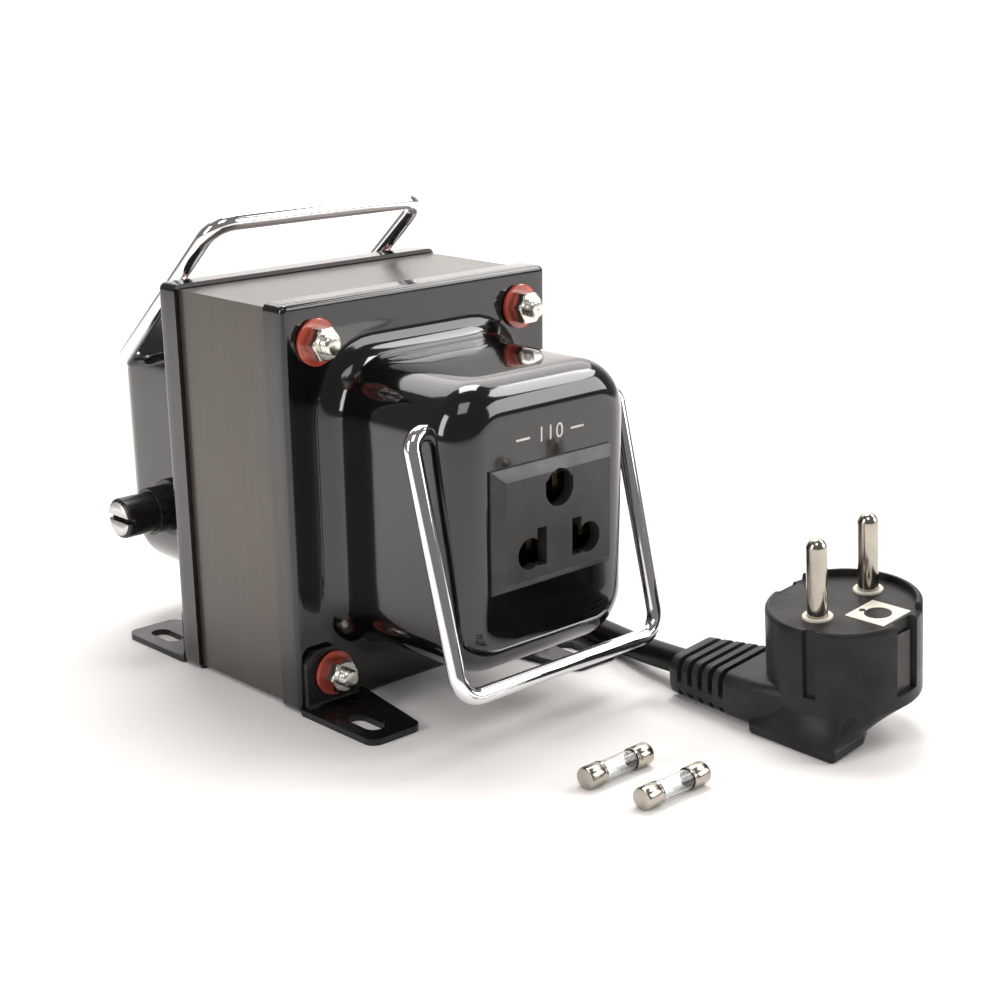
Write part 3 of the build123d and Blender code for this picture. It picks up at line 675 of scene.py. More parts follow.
@dataclass
class EndBell:
    """One pressed bell: a rounded box, its root fillet, the pan and the pan's lip."""

    finishes: Finishes
    side: Side
    half_width: float = 28.5 * MM
    half_height: float = 34.4 * MM
    corner: float = 13.0 * MM
    edge: float = 8.5 * MM
    root: float = 6.0 * MM
    face_x: float = 68.2 * MM
    pan_x: float = 24.7 * MM
    pan_half_width: float = 41.2 * MM
    pan_half_height: float = 49.2 * MM
    pan_corner: float = 1.8 * MM
    pan_edge: float = 1.2 * MM
    lip: float = 7.0 * MM
    sheet: float = 1.0 * MM
    cut_half_width: float = 17.1 * MM
    cut_half_height: float = 12.4 * MM
    cut_corner: float = 0.4 * MM
    cut_z: float = 49.9 * MM
    least_corner: float = 0.05 * MM
    face_rows: int = 7
    edge_rows: int = 14
    side_rows: int = 8
    root_rows: int = 12
    pan_rows: int = 6
    rim_rows: int = 6
    lip_rows: int = 4

    def row(self, x: float, outline: tuple, grow: float = 0.0) -> tuple:
        """One row of the profile: an outline, grown or shrunk all round, at a place along X."""
        return (x, *(v + grow for v in outline), self.pan_half_height)

    def straight(self, start: tuple, stop: tuple, count: int) -> list:
        """Rows evenly from one to another, both counted."""
        return [tuple(a + (b - a) * t for a, b in zip(start, stop)) for t in np.linspace(0, 1, count)]

    def rounded(self, x: float, outline: tuple, r: float, count: int) -> list:
        """Rows of a convex quarter circle that starts flat at x and ends along X."""
        return [self.row(x - r * (1 - math.cos(phi)), outline, r * (math.sin(phi) - 1))
                for phi in np.linspace(0, QUARTER, count)[1:]]

    def profile(self) -> list:
        """The bell from face to lip.

        The face runs flat out from its cut-out, or on the rear bell from a point. A convex quarter
        circle leads into the box's side, a concave one into the pan, and a convex one into the lip.

        Returns:
            Rows of x, half width, half height, corner radius and the centre's height.
        """
        box = (self.half_width, self.half_height, self.corner)
        pan = (self.pan_half_width, self.pan_half_height, self.pan_corner)
        if self.side is Side.FRONT:
            first = (self.face_x, self.cut_half_width, self.cut_half_height, self.cut_corner,
                     self.cut_z)
        else:
            first = (self.face_x, 2 * POLE, 2 * POLE, POLE, self.pan_half_height)
        rows = self.straight(first, self.row(self.face_x, box, -self.edge), self.face_rows)
        rows += self.rounded(self.face_x, box, self.edge, self.edge_rows)
        rows += self.straight(rows[-1], self.row(self.pan_x + self.root, box), self.side_rows)[1:]
        for phi in np.linspace(0, QUARTER, self.root_rows)[1:]:
            x = self.pan_x + self.root * (1 - math.sin(phi))
            rows.append(self.row(x, box, self.root * (1 - math.cos(phi))))
        flat_end = self.row(self.pan_x, pan, -self.pan_edge)
        rows += self.straight(rows[-1], flat_end, self.pan_rows)[1:]
        rows += self.rounded(self.pan_x, pan, self.pan_edge, self.rim_rows)
        rows += self.straight(rows[-1], self.row(self.pan_x - self.lip, pan), self.lip_rows)[1:]
        return rows

    def inner(self, outer: Array) -> Array:
        """The inner skin.

        Each row moves by the sheet's thickness against the profile's normal, which is its direction
        of travel in X and width, turned by a quarter.

        Args:
            outer: the outer skin's rows, from face to lip.

        Returns:
            The inner skin's rows, from lip to face.
        """
        run = np.gradient(outer[:, :2], axis=0)
        run /= np.linalg.norm(run, axis=1)[:, None]
        normal_x, normal_out = run[:, 1], -run[:, 0]
        rows = outer.copy()
        rows[:, 0] -= self.sheet * normal_x
        rows[:, 1:3] -= self.sheet * normal_out[:, None]
        rows[:, 3] = np.maximum(rows[:, 3] - self.sheet * normal_out, self.least_corner)
        return rows[::-1]

    def build(self) -> None:
        """The sheet: loops stacked along X, out over the profile and back along its inner skin."""
        outer = np.array(self.profile())
        rings = []
        for x, half_y, half_z, r, z in np.concatenate([outer, self.inner(outer), outer[:1]]):
            loop = rounded_loop(half_y, half_z, r)
            rings.append(np.column_stack([np.full(len(loop), x * self.side.value),
                                          loop[:, 0], loop[:, 1] + z]))
        bell = surface(f"{self.side.word()}_bell_sheet", [np.array(rings)])
        dress(bell, self.finishes.enamel, "root", "black_enamel", f"{self.side.word()}_bell")


@dataclass
class Feet:
    """Four bent feet."""

    finishes: Finishes
    soft: float = 0.25 * MM

    def build(self) -> None:
        """Softened copies of the CAD feet."""
        for node in ("foot_front_right", "foot_front_left", "foot_rear_right", "foot_rear_left"):
            piece = refined(node, f"{node}_plate", self.soft)
            dress(piece, self.finishes.foot_enamel, "root", "black_enamel", node)


@dataclass
class Fasteners:
    """Bolts with rolled threads, chamfered nuts and fibre washers."""

    finishes: Finishes
    bolt_r: float = 2.3 * MM
    head_width: float = 7.3 * MM
    head_height: float = 3.4 * MM
    nut_height: float = 3.6 * MM
    chamfer: float = 0.35 * MM
    face_share: float = 0.94
    cone_share: float = 0.97
    cone_slope: float = 1.9
    stub: float = 2.4 * MM
    tip_round: float = 0.7 * MM
    tip_share: float = 0.72
    washer_r: float = 5.5 * MM
    washer: float = 1.0 * MM
    washer_edge: float = 0.2 * MM
    washer_play: float = 0.2 * MM
    sunk: float = 0.2 * MM
    pitch: float = 0.8 * MM
    thread_depth: float = 0.22 * MM
    thread_length: float = 11.0 * MM
    rows_per_turn: int = 10
    shank_rows: int = 6
    chamfer_rows: int = 4
    hexagon_points: int = 72
    shank_points: int = 40
    washer_points: int = 56
    pan_x: float = 24.7 * MM
    foot_sheet: float = 1.6 * MM
    bolt_y: float = 32.0 * MM
    low_z: float = 9.2 * MM
    high_z: float = 89.2 * MM

    def hexagon(self, x0: float, height: float, y: float, z: float, hole: float) -> Array:
        """Hexagonal prism with chamfered ends, about a line along X.

        The radius at an angle is the flat's distance over the cosine of the angle to the nearest
        flat, held below a cone that grows from each end.

        Args:
            x0: where it starts.
            height: its length along X.
            y: the line's Y.
            z: the line's Z.
            hole: radius of its hole, or 0.

        Returns:
            A grid of points.
        """
        half = self.head_width / 2
        near = np.linspace(0, self.chamfer, self.chamfer_rows)
        far = np.linspace(height - self.chamfer, height, self.chamfer_rows)
        x = np.concatenate([[0, 0], near, far, [height, height]])
        r = np.full(len(x), np.inf)
        r[0] = r[-1] = max(hole, 2 * POLE)
        r[1] = r[-2] = half * self.face_share

        def shape(radii: Array, heights: Array, angles: Array) -> Array:
            """Hexagon under the two cones.

            Args:
                radii: the profile's radii.
                heights: places along X.
                angles: angles round the line.

            Returns:
                The radii, cut back.
            """
            turn = (angles + math.pi / 6) % (math.pi / 3) - math.pi / 6
            flats = half / np.cos(turn)
            end = np.minimum(heights, height - heights)
            cone = half * self.cone_share + end * self.cone_slope
            return np.minimum(radii, np.minimum(flats, cone))

        return lathe(list(zip(r, x)), (x0, y, z), (1, 0, 0), self.hexagon_points, shape)

    def thread(self, x0: float, x1: float, y: float, z: float) -> Array:
        """Shank with a thread at its free end, about a line along X.

        There the radius falls by a triangle wave of height over pitch less turn.

        Args:
            x0: where the shank starts.
            x1: its tip.
            y: the line's Y.
            z: the line's Z.

        Returns:
            A grid of points.
        """
        tip = x1 - x0
        first = tip - self.thread_length
        count = int(self.thread_length / self.pitch * self.rows_per_turn)
        plain = np.linspace(0, first, self.shank_rows)[:-1]
        heights = np.concatenate([plain, np.linspace(first, tip, count)])

        def shape(radii: Array, h: Array, a: Array) -> Array:
            """Helical groove with a rounded tip.

            Args:
                radii: the profile's radii.
                h: heights over the shank's start.
                a: angles round the line.

            Returns:
                The radii, cut back.
            """
            phase = (h / self.pitch - a / TURN) % 1.0
            groove = np.abs(phase * 2 - 1) * self.thread_depth * (h > first)
            end = np.clip((tip - h) / self.tip_round, 0, 1)
            rise = np.sqrt(1 - (1 - end) ** 2)
            return (radii - groove) * (self.tip_share + (1 - self.tip_share) * rise)

        profile = [(POLE, 0.0)] + [(self.bolt_r, h) for h in heights] + [(POLE, tip)]
        return lathe(profile, (x0, y, z), (1, 0, 0), self.shank_points, shape)

    def ring(self, x0: float, y: float, z: float) -> Array:
        """Washer with rounded rims: a closed profile round the bolt.

        Args:
            x0: where it starts.
            y: the bolt's Y.
            z: the bolt's Z.

        Returns:
            A grid of points.
        """
        t, r, e = self.washer, self.washer_r, self.washer_edge
        hole = self.bolt_r + self.washer_play
        profile = [(hole, 0), (r - e, 0), (r, e), (r, t - e), (r - e, t), (hole, t), (hole, 0)]
        return lathe(profile, (x0, y, z), (1, 0, 0), self.washer_points)

    def build(self) -> None:
        """Bolts, nuts and both rows of washers."""
        bolts, nuts, front, rear = [], [], [], []
        for z in (self.low_z, self.high_z):
            for y in (-self.bolt_y, self.bolt_y):
                grip = self.pan_x + (self.foot_sheet if z == self.low_z else 0)
                seat = grip + self.washer
                tip = seat + self.nut_height + self.stub
                bolts.append(self.hexagon(-seat - self.head_height, self.head_height, y, z, 0))
                bolts.append(self.thread(self.sunk - seat, tip, y, z))
                nuts.append(self.hexagon(seat, self.nut_height, y, z, self.bolt_r))
                front.append(self.ring(grip, y, z))
                rear.append(self.ring(-seat, y, z))
        for name, grids, finish, slot, node in (
                ("bolts", bolts, self.finishes.nickel, "nickel", "through_bolts"),
                ("nuts", nuts, self.finishes.nickel, "nickel", "front_nuts"),
                ("washers_front", front, self.finishes.fibre, "red_fibre", "front_washers"),
                ("washers_rear", rear, self.finishes.fibre, "red_fibre", "rear_washers")):
            dress(surface(name, grids), finish, "root", slot, node)


@dataclass
class Outlet:
    """Outlet face and body, and the plain number printed above it."""

    finishes: Finishes
    soft: float = 0.3 * MM
    face_x: float = 68.2 * MM
    number: str = "110"
    number_height: float = 3.6 * MM
    size_per_height: float = 1.38
    spacing: float = 1.15
    number_z: float = 69.9 * MM
    ink: float = 0.04 * MM
    bar: tuple = (4.2 * MM, 0.5 * MM, 0.08 * MM, 1)
    bar_y: float = 8.6 * MM

    def printed_number(self) -> bpy.types.Object:
        """Flat printed digits between two short bars, turned to face +X.

        Returns:
            The piece.
        """
        curve = bpy.data.curves.new("number_text", "FONT")
        curve.body = self.number
        curve.size = self.number_height * self.size_per_height
        curve.align_x = "CENTER"
        curve.align_y = "CENTER"
        curve.extrude = self.ink
        curve.space_character = self.spacing
        text = bpy.data.objects.new("number_text", curve)
        bpy.context.scene.collection.objects.link(text)
        bpy.context.view_layer.update()
        mesh = bpy.data.meshes.new_from_object(text)
        bpy.data.objects.remove(text)
        work = bmesh.new()
        work.from_mesh(mesh)
        for side in (-1, 1):
            bar = Matrix.Translation((side * self.bar_y, 0, 0)) @ Matrix.Diagonal(self.bar)
            bmesh.ops.create_cube(work, size=1.0, matrix=bar)
        turn = Matrix(((0, 0, 1, self.face_x + self.ink), (1, 0, 0, 0),
                       (0, 1, 0, self.number_z), (0, 0, 0, 1)))
        bmesh.ops.transform(work, matrix=turn, verts=work.verts)
        bmesh.ops.recalc_face_normals(work, faces=work.faces)
        work.to_mesh(mesh)
        work.free()
        return shown("printed_number", mesh)

    def build(self) -> None:
        """Softened outlet face, painted body and the number."""
        face = refined("outlet_face", "outlet_cover", self.soft)
        dress(face, self.finishes.outlet_plastic, "root", "black_plastic", "outlet_face")
        paint(self.finishes.plastic, "outlet_body")
        dress(self.printed_number(), self.finishes.print_ink, "root", "cream_plastic")


@dataclass
class FuseHolder:
    """Panel fuse holder on the rear bell, with its drawn-out fuse."""

    finishes: Finishes
    soft: float = 0.3 * MM
    disc_r: float = 4.4 * MM
    disc_sheet: float = 0.3 * MM
    slot_half: float = 0.75 * MM
    lift: float = 0.06 * MM
    rim_points: int = 25

    def build(self) -> None:
        """Softened copies of holder, nut and knob; the installed fuse keeps its solids."""
        for node, name, body in (("fuse_holder_body", "fuse_holder_shell", "root"),
                                 ("fuse_holder_nut", "fuse_holder_ring", "root"),
                                 ("fuse_knob", "fuse_knob_cap", "fuse_knob")):
            piece = refined(node, name, self.soft)
            dress(piece, self.finishes.plastic, body, "black_plastic", node)
        self.end_disc()
        paint(self.finishes.glass, "fuse_glass")
        paint(self.finishes.nickel, "fuse_caps", "fuse_wire")

    def end_disc(self) -> None:
        """Bright disc let into the knob's end, in two halves beside the screwdriver slot.

        Each half is the part of a disc that lies further from the slot's middle than half its width;
        its rim runs round by angle and its straight side joins the rim's two ends.
        """
        low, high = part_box("fuse_knob")
        mid = (low + high) / 2
        first = math.asin(self.slot_half / self.disc_r)
        turn = np.linspace(first, math.pi - first, self.rim_points)
        level = np.full((2, self.rim_points), low.y - self.lift)
        halves = []
        for side in (-1, 1):
            x = self.disc_r * np.cos(turn)
            z = np.stack([np.full(self.rim_points, side * self.slot_half),
                          side * self.disc_r * np.sin(turn)])
            halves.append(np.stack([np.stack([x, x]) + mid.x, level, z + mid.z], -1))
        disc = surface("fuse_knob_disc", halves, Seam.OPEN)
        if disc.data.polygons[0].normal.y > 0:
            disc.data.flip_normals()
        plate = disc.modifiers.new("plate", "SOLIDIFY")
        plate.thickness = self.disc_sheet
        plate.offset = -1.0
        dress(disc, self.finishes.brushed, "fuse_knob", "nickel")


@dataclass
class SpareFuses:
    """Two glass fuses on the floor.

    The dome has pairs of a share of the cap's radius and a height over its end; the mouth has pairs
    of such a share and a distance from the mouth.
    """

    finishes: Finishes
    xs: tuple = (101.4 * MM, 117.0 * MM)
    ys: tuple = (-12.7 * MM, -11.6 * MM)
    length: float = 20.0 * MM
    cap_r: float = 2.6 * MM
    cap_length: float = 5.2 * MM
    dome: tuple = ((0.8, 0.02 * MM), (0.95, 0.2 * MM), (1.0, 0.6 * MM))
    mouth: tuple = ((1.0, 0.9 * MM), (0.965, 0.7 * MM), (0.965, 0.5 * MM), (1.0, 0.3 * MM),
                    (1.0, 0.05 * MM), (0.93, 0.0))
    glass_r: float = 2.3 * MM
    glass_wall: float = 0.35 * MM
    glass_inset: float = 0.5 * MM
    wire_r: float = 0.16 * MM
    bow: float = 0.35 * MM
    wire_points: int = 20
    cap_round: int = 40
    glass_round: int = 48
    wire_round: int = 10

    def cap(self, x: float, y: float, end: int) -> Array:
        """Cap with a domed end and a rolled groove near its mouth.

        Args:
            x: the fuse's X.
            y: the fuse's middle along Y.
            end: -1 or 1, the end that it closes.

        Returns:
            A grid of points.
        """
        profile = [(POLE, 0)] + [(self.cap_r * share, h) for share, h in self.dome]
        profile += [(self.cap_r * share, self.cap_length - d) for share, d in self.mouth]
        base = (x, y + end * self.length / 2, self.cap_r)
        return lathe(profile, base, (0, -end, 0), self.cap_round)

    def build(self) -> None:
        """Caps, glass tubes, and wires with a slight bow: half a sine wave from end to end."""
        caps, glass, wires = [], [], []
        span = self.length - 2 * self.glass_inset
        g, w = self.glass_r, self.glass_wall
        tube_section = [(g - w, 0), (g, 0), (g, span), (g - w, span), (g - w, 0)]
        t = np.linspace(0, 1, self.wire_points)
        for x, y in zip(self.xs, self.ys):
            caps += [self.cap(x, y, end) for end in (-1, 1)]
            base = (x, y - span / 2, self.cap_r)
            glass.append(lathe(tube_section, base, (0, 1, 0), self.glass_round))
            path = np.stack([np.full(len(t), x), y + (t - 0.5) * span,
                             self.cap_r + self.bow * np.sin(math.pi * t)], -1)
            wires.append(tube(path, self.wire_r, (1, 0, 0), self.wire_round))
        for name, grids, finish, slot, node in (
                ("spare_caps", caps, self.finishes.pin_nickel, "nickel", "spare_fuse_caps"),
                ("spare_glass", glass, self.finishes.glass, "glass", "spare_fuse_glass"),
                ("spare_wires", wires, self.finishes.nickel, "nickel", "spare_fuse_wires")):
            dress(surface(name, grids), finish, "root", slot, node)


@dataclass
class WireHandle:
    """A bent wire handle on one bell, turned by its swing in degrees."""

    finishes: Finishes
    side: Side
    swing: float
    pivot_x: float = 57.5 * MM
    pivot_z: float = 73.0 * MM
    drop: float = 60.0 * MM
    wire_r: float = 2.0 * MM
    leg_y: float = 32.5 * MM
    end_y: float = 23.5 * MM
    radii: tuple = (3.5 * MM, 6.0 * MM, 6.0 * MM, 3.5 * MM)
    arc_points: int = 14
    round_points: int = 32

    def build(self) -> None:
        """The wire hangs from the pivot, then the whole path turns by the swing about it."""
        local = [(self.end_y, 0), (self.leg_y, 0), (self.leg_y, -self.drop),
                 (-self.leg_y, -self.drop), (-self.leg_y, 0), (-self.end_y, 0)]
        path = wire_path([(0, y, z) for y, z in local], self.radii, self.arc_points)
        swing = math.radians(self.swing)
        c, s = math.cos(swing), math.sin(swing)
        turn = np.array([[c, 0, -s], [0, 1, 0], [s, 0, c]])
        pivot = np.array([self.side.value * self.pivot_x, 0, self.pivot_z])
        rings = tube(path, self.wire_r, (1, 0, 0), self.round_points) @ turn.T + pivot
        name = f"{self.side.word()}_handle"
        dress(surface(f"{name}_wire", [rings], caps=True), self.finishes.chrome, name, "chrome_wire",
              name)


@dataclass
class MainsCord:
    """The whole cord as one spline: lead, stored coil and tail to the plug, points in millimetres."""

    finishes: Finishes
    length: float = 1.26
    radius: float = 3.4 * MM
    low_z: float = 3.4
    coil_centre: tuple = (-87.0, 92.5)
    coil_outer: float = 42.5
    pitch: float = 7.35
    quarters: int = 18
    steps: int = 4
    lead: tuple = ((-43.0, 56.0, 36.0), (-43.0, 72.6, 36.0), (-34.4, 90.7, 34.9),
                   (-32.6, 109.4, 25.3), (-42.0, 125.6, 16.1), (-59.7, 135.0, 10.75),
                   (-80.2, 135.0, 10.75))
    tail: tuple = ((-80.2, 50.0, 3.4), (-56.0, 50.0, 3.4), (-16.0, 49.4, 3.4), (18.0, 48.2, 3.4),
                   (38.0, 46.2, 3.4), (54.0, 43.2, 3.8), (66.5, 39.6, 5.4), (78.9, 38.6, 6.2))

    def coil_points(self) -> list:
        """Spirals in above and out below; the layer changes in the half turn at the middle.

        The control points stand out by the secant of half a step, so that the spline lies on the
        spiral. The first and last half step belong to the straight ends.

        Returns:
            Control points of the coil.
        """
        mid = self.quarters / 2
        out = []
        stand = 1 / math.cos(math.pi / (4 * self.steps))
        for n in range(1, self.quarters * self.steps):
            q = n / self.steps
            r = (self.coil_outer - self.pitch / 4 * (mid - abs(q - mid))) * stand
            climb = min(max((q - mid + 1) / 2, 0), 1)
            climb = climb * climb * (3 - 2 * climb)
            angle = QUARTER * (1 + q)
            out.append((self.coil_centre[0] + r * math.cos(angle),
                        self.coil_centre[1] + r * math.sin(angle),
                        self.low_z + self.pitch * (1 - climb)))
        return out

    def build(self, with_pieces: list) -> None:
        """One NURBS curve with a round section.

        Args:
            with_pieces: the plug's pieces; not used.
        """
        points = [*self.lead, *self.coil_points(), *self.tail]
        curve = bpy.data.curves.new("mains_cord", "CURVE")
        curve.dimensions = "3D"
        curve.bevel_depth = self.radius
        curve.bevel_resolution = 6
        curve.resolution_u = 8
        curve.use_fill_caps = True
        line = curve.splines.new("NURBS")
        line.points.add(len(points) - 1)
        flat = np.array([(x * MM, y * MM, z * MM, 1.0) for x, y, z in points]).ravel()
        line.points.foreach_set("co", flat)
        line.order_u = 3
        line.use_endpoint_u = True
        cord = bpy.data.objects.new("mains_cord", curve)
        bpy.context.scene.collection.objects.link(cord)
        dress(cord, self.finishes.cord_vinyl, "root", "black_rubber", "cord_lead", "cord_coil",
              "cord_tail")


@dataclass
class Plug:
    """Moulded angled plug: round head, keel and ribbed arm, with pins, collars, clips and socket.

    The plug's own frame has the face at z = 0, the pins up, the arm towards -X and the lengths in
    millimetres; it leans by the roll about X and stands on its keel's near edge. Turns are in
    degrees. The keel's ends have pairs of a share of its outline and a height over its bottom. An
    arm row has x, then the least and greatest y and z. Sections have pairs of radius and height.
    """

    finishes: Finishes
    centre: tuple = (118.9, 44.0, 31.0)
    roll: float = 5.8
    pole: float = 0.01
    step: float = 0.1
    around: int = 360
    head_r: float = 17.88
    head_edge: float = 1.2
    edge_rows: int = 6
    head_depth: float = 20.6
    side_depths: tuple = (1.6, 6.0, 11.0, 19.0)
    face_drop: float = 0.15
    rim_r: float = 16.3
    rim_height: float = 1.5
    rim_turns: tuple = (24.0, 160.0)
    groove_half: float = 3.5
    groove_floor: float = 15.8
    groove_depth: float = 17.5
    groove_least_x_share: float = 0.2
    slot_x: float = 3.4
    slot_half: float = 1.3
    slot_cut: float = 1.1
    slot_depth: float = 16.5
    keel_depth: float = 29.2
    keel_band: float = 3.0
    keel_draft_share: float = 0.975
    blend_shares: tuple = (0.04, 0.35, 0.7, 1.0)
    keel_ends: tuple = ((1.0, 2.65), (1.0, 0.9), (0.975, 0.25), (0.95, 0.0), (0.001, 0.0))
    keel: tuple = ((-12.6, -20.3), (12.6, -21.2), (12.2, -9.0), (7.0, 0.5), (-2.0, 6.5),
                   (-12.6, 8.5))
    keel_blur: int = 9
    least_facing: float = 1e-3
    arm_rows: tuple = ((-40.6, -15.6, -0.4, -28.6, -19.6), (-39.6, -16.5, 0.6, -29.0, -18.7),
                       (-20.0, -18.6, 3.0, -28.7, -17.2), (-12.0, -19.0, 6.0, -28.6, -16.8),
                       (-4.0, -17.4, 6.0, -28.2, -16.6), (4.0, -15.0, 6.0, -28.0, -16.6))
    arm_corner: float = 3.0
    arm_points: int = 8
    arm_start: tuple = (-40.6, -40.2, -39.6)
    arm_stop: tuple = (-16.0, -12.0, -8.0, -4.0, 0.0, 4.0)
    ribs: int = 5
    rib_first: float = -36.9
    rib_pitch: float = 3.55
    rib_gap: float = 1.15
    rib_flank: float = 0.25
    top_inset: float = 1.6
    top_blend: float = 0.5
    under_inset: float = 0.9
    under_height: float = 2.4
    under_blend: float = 0.4
    pin_y: float = 9.5
    pin_r: float = 2.4
    pin_length: float = 19.0
    pin_rows: tuple = (-2.0, 4.0, 10.0)
    tip_rows: int = 12
    collar: tuple = ((2.42, -0.6), (3.5, -0.6), (3.5, 0.25), (3.3, 0.45), (2.6, 0.45), (2.42, 0.3),
                     (2.42, -0.6))
    mark_place: tuple = (5.9, -0.9)
    mark_round: int = 20
    mark: tuple = ((0.01, 0.06), (0.75, 0.06), (0.75, -0.2), (0.01, -0.2))

    def to_world(self, points: Array) -> Array:
        """Leans the points about X, sets them in place and keeps them on or over the floor.

        Args:
            points: points in the plug's own frame, in millimetres.

        Returns:
            The points in the shared frame, in metres.
        """
        a = math.radians(self.roll)
        c, s = math.cos(a), math.sin(a)
        turn = np.array([[1, 0, 0], [0, c, -s], [0, s, c]])
        out = points @ turn.T + np.array(self.centre)
        out[..., 2] = np.maximum(out[..., 2], 0.0)
        return out * MM

    def turned(self, x: float, y: float, profile: tuple | list, segments: int = 40) -> Array:
        """A turned form about a line along the plug's own Z, in the plug's lean."""
        return self.to_world(lathe(profile, (x, y, 0.0), (0, 0, 1), segments))

    def head_rows(self, turns: Array) -> list:
        """The round head from the face's middle, over its raised rim and edge, down its side.

        Args:
            turns: angles round the head.

        Returns:
            Pairs of a radius and the heights at every angle.
        """
        first, last = (math.radians(v) for v in self.rim_turns)
        raised = np.where((turns > first) & (turns < last), self.rim_height, 0.0)
        edge, level = self.head_edge, np.zeros(len(turns))
        rows = [(2 * self.pole, level - self.face_drop), (self.rim_r, level - self.face_drop),
                (self.rim_r + self.step, raised - self.face_drop / 2)]
        rows += [(self.head_r - edge + edge * math.sin(t), raised - edge + edge * math.cos(t))
                 for t in np.linspace(0, QUARTER, self.edge_rows)]
        cuts = (self.slot_depth, self.slot_depth + self.step, self.groove_depth,
                self.groove_depth + self.step)
        depths = sorted([*self.side_depths, *cuts, self.head_depth])
        return rows + [(self.head_r, level - d) for d in depths]

    def cut_back(self, r: float, z: float, x: Array, y: Array) -> Array:
        """Radii of one ring of the head, cut by the two clip grooves and the fine slot.

        In a groove the radius is the floor's distance over the direction's X, which draws a flat
        floor; in the slot it is the head's radius less the slot's cut.

        Args:
            r: the ring's radius.
            z: its height.
            x: X of the direction at every angle.
            y: Y of the direction at every angle.

        Returns:
            The radius at every angle.
        """
        radii = np.full(len(x), r)
        if z >= -self.groove_depth:
            flat = self.groove_floor / np.maximum(np.abs(x), self.groove_least_x_share)
            radii = np.where(np.abs(y) * r < self.groove_half, np.minimum(radii, flat), radii)
        if z >= -self.slot_depth and r > self.head_r - 2 * self.head_edge:
            near = (np.abs(x * r - self.slot_x) < self.slot_half) & (y < 0)
            radii = np.where(near, np.minimum(radii, self.head_r - self.slot_cut), radii)
        return radii

    def keel_outline(self, turns: Array) -> Array:
        """The keel's outline at each angle about its middle.

        Along a direction u the outline of a convex shape is at the smallest d / (n . u) over its
        sides, where n is a side's outward normal and d its distance from the middle. A short running
        mean rounds the corners.

        Args:
            turns: the angles.

        Returns:
            Points of shape (angles, 2).
        """
        p = np.array(self.keel)
        middle = p.mean(0)
        run = np.roll(p, -1, axis=0) - p
        normal = np.stack([run[:, 1], -run[:, 0]], -1) / np.linalg.norm(run, axis=1)[:, None]
        distance = ((p - middle) * normal).sum(1)
        u = np.stack([np.cos(turns), np.sin(turns)], -1)
        facing = u @ normal.T
        far = distance / np.maximum(facing, self.least_facing)
        reach = np.where(facing > self.least_facing, far, np.inf).min(1)
        kernel = np.hanning(self.keel_blur)
        wrap = self.keel_blur // 2
        reach = np.convolve(np.concatenate([reach[-wrap:], reach, reach[:wrap]]),
                            kernel / kernel.sum(), "valid")
        return middle + reach[:, None] * u

    def keel_rings(self, start: Array, outline: Array) -> list:
        """Rings from the head to the keel's outline, down its side and over its bottom.

        The first ones move straight from the head's last ring to the outline at the same angle, the
        last ones draw the outline in towards its middle.

        Args:
            start: the head's last ring.
            outline: the keel's outline.

        Returns:
            Rings of points in the plug's own frame.
        """
        middle = outline.mean(0)
        target = np.column_stack([middle + (outline - middle) * self.keel_draft_share,
                                  start[:, 2] + self.keel_band - self.keel_depth + self.head_depth])
        rings = [start + (target - start) * t for t in self.blend_shares]
        for share, over in self.keel_ends:
            flat = middle + (outline - middle) * share
            rings.append(np.column_stack([flat, np.full(len(flat), over - self.keel_depth)]))
        return rings

    def head(self) -> Array:
        """Round head with two clip grooves and a fine slot, closed by the keel's tapered form.

        Returns:
            A grid of points.
        """
        turns = np.linspace(0, TURN, self.around + 1)[:-1]
        x, y = np.cos(turns), np.sin(turns)
        rings = []
        for r, z in self.head_rows(turns):
            radii = self.cut_back(r, z[0], x, y)
            rings.append(np.stack([radii * x, radii * y, z], -1))
        rings += self.keel_rings(rings[-1], self.keel_outline(turns))
        return self.to_world(np.array(rings))

    def arm(self) -> Array:
        """Ribbed arm: rounded sections along X, drawn in between the ribs above and at the foot.

        Returns:
            A grid of points.
        """
        rows = np.array(self.arm_rows)
        stations = [(x, False) for x in self.arm_start]
        for n in range(self.ribs):
            x0 = self.rib_first + n * self.rib_pitch
            x1 = x0 + self.rib_gap
            stations += [(x0 - self.rib_flank, False), (x0, True), (x1, True),
                         (x1 + self.rib_flank, False)]
        stations += [(x, False) for x in self.arm_stop]
        rings = []
        for x, cut in stations:
            y0, y1, z0, z1 = (np.interp(x, rows[:, 0], rows[:, k]) for k in (1, 2, 3, 4))
            half = np.array([(y1 - y0) / 2, (z1 - z0) / 2])
            loop = rounded_loop(half[0], half[1], self.arm_corner, self.arm_points,
                                self.arm_points)
            if cut:
                top = np.clip(loop[:, 1] / self.top_blend + 1, 0, 1)
                foot = np.clip((self.under_height - half[1] - loop[:, 1]) / self.under_blend, 0, 1)
                inset = self.top_inset * top + self.under_inset * foot
                loop = loop * (1 - inset[:, None] / half)
            rings.append(np.column_stack([np.full(len(loop), x), loop[:, 0] + (y0 + y1) / 2,
                                          loop[:, 1] + (z0 + z1) / 2]))
        return self.to_world(np.array(rings))

    def pin_profile(self) -> list:
        """A round pin whose tip is a quarter circle of its own radius.

        Returns:
            Pairs of radius and height.
        """
        r, stop = self.pin_r, self.pin_length - self.pin_r
        tip = [(max(r * math.cos(t), self.pole), stop + r * math.sin(t))
               for t in np.linspace(0, QUARTER, self.tip_rows)]
        return [(self.pole, self.pin_rows[0])] + [(r, h) for h in self.pin_rows] + tip

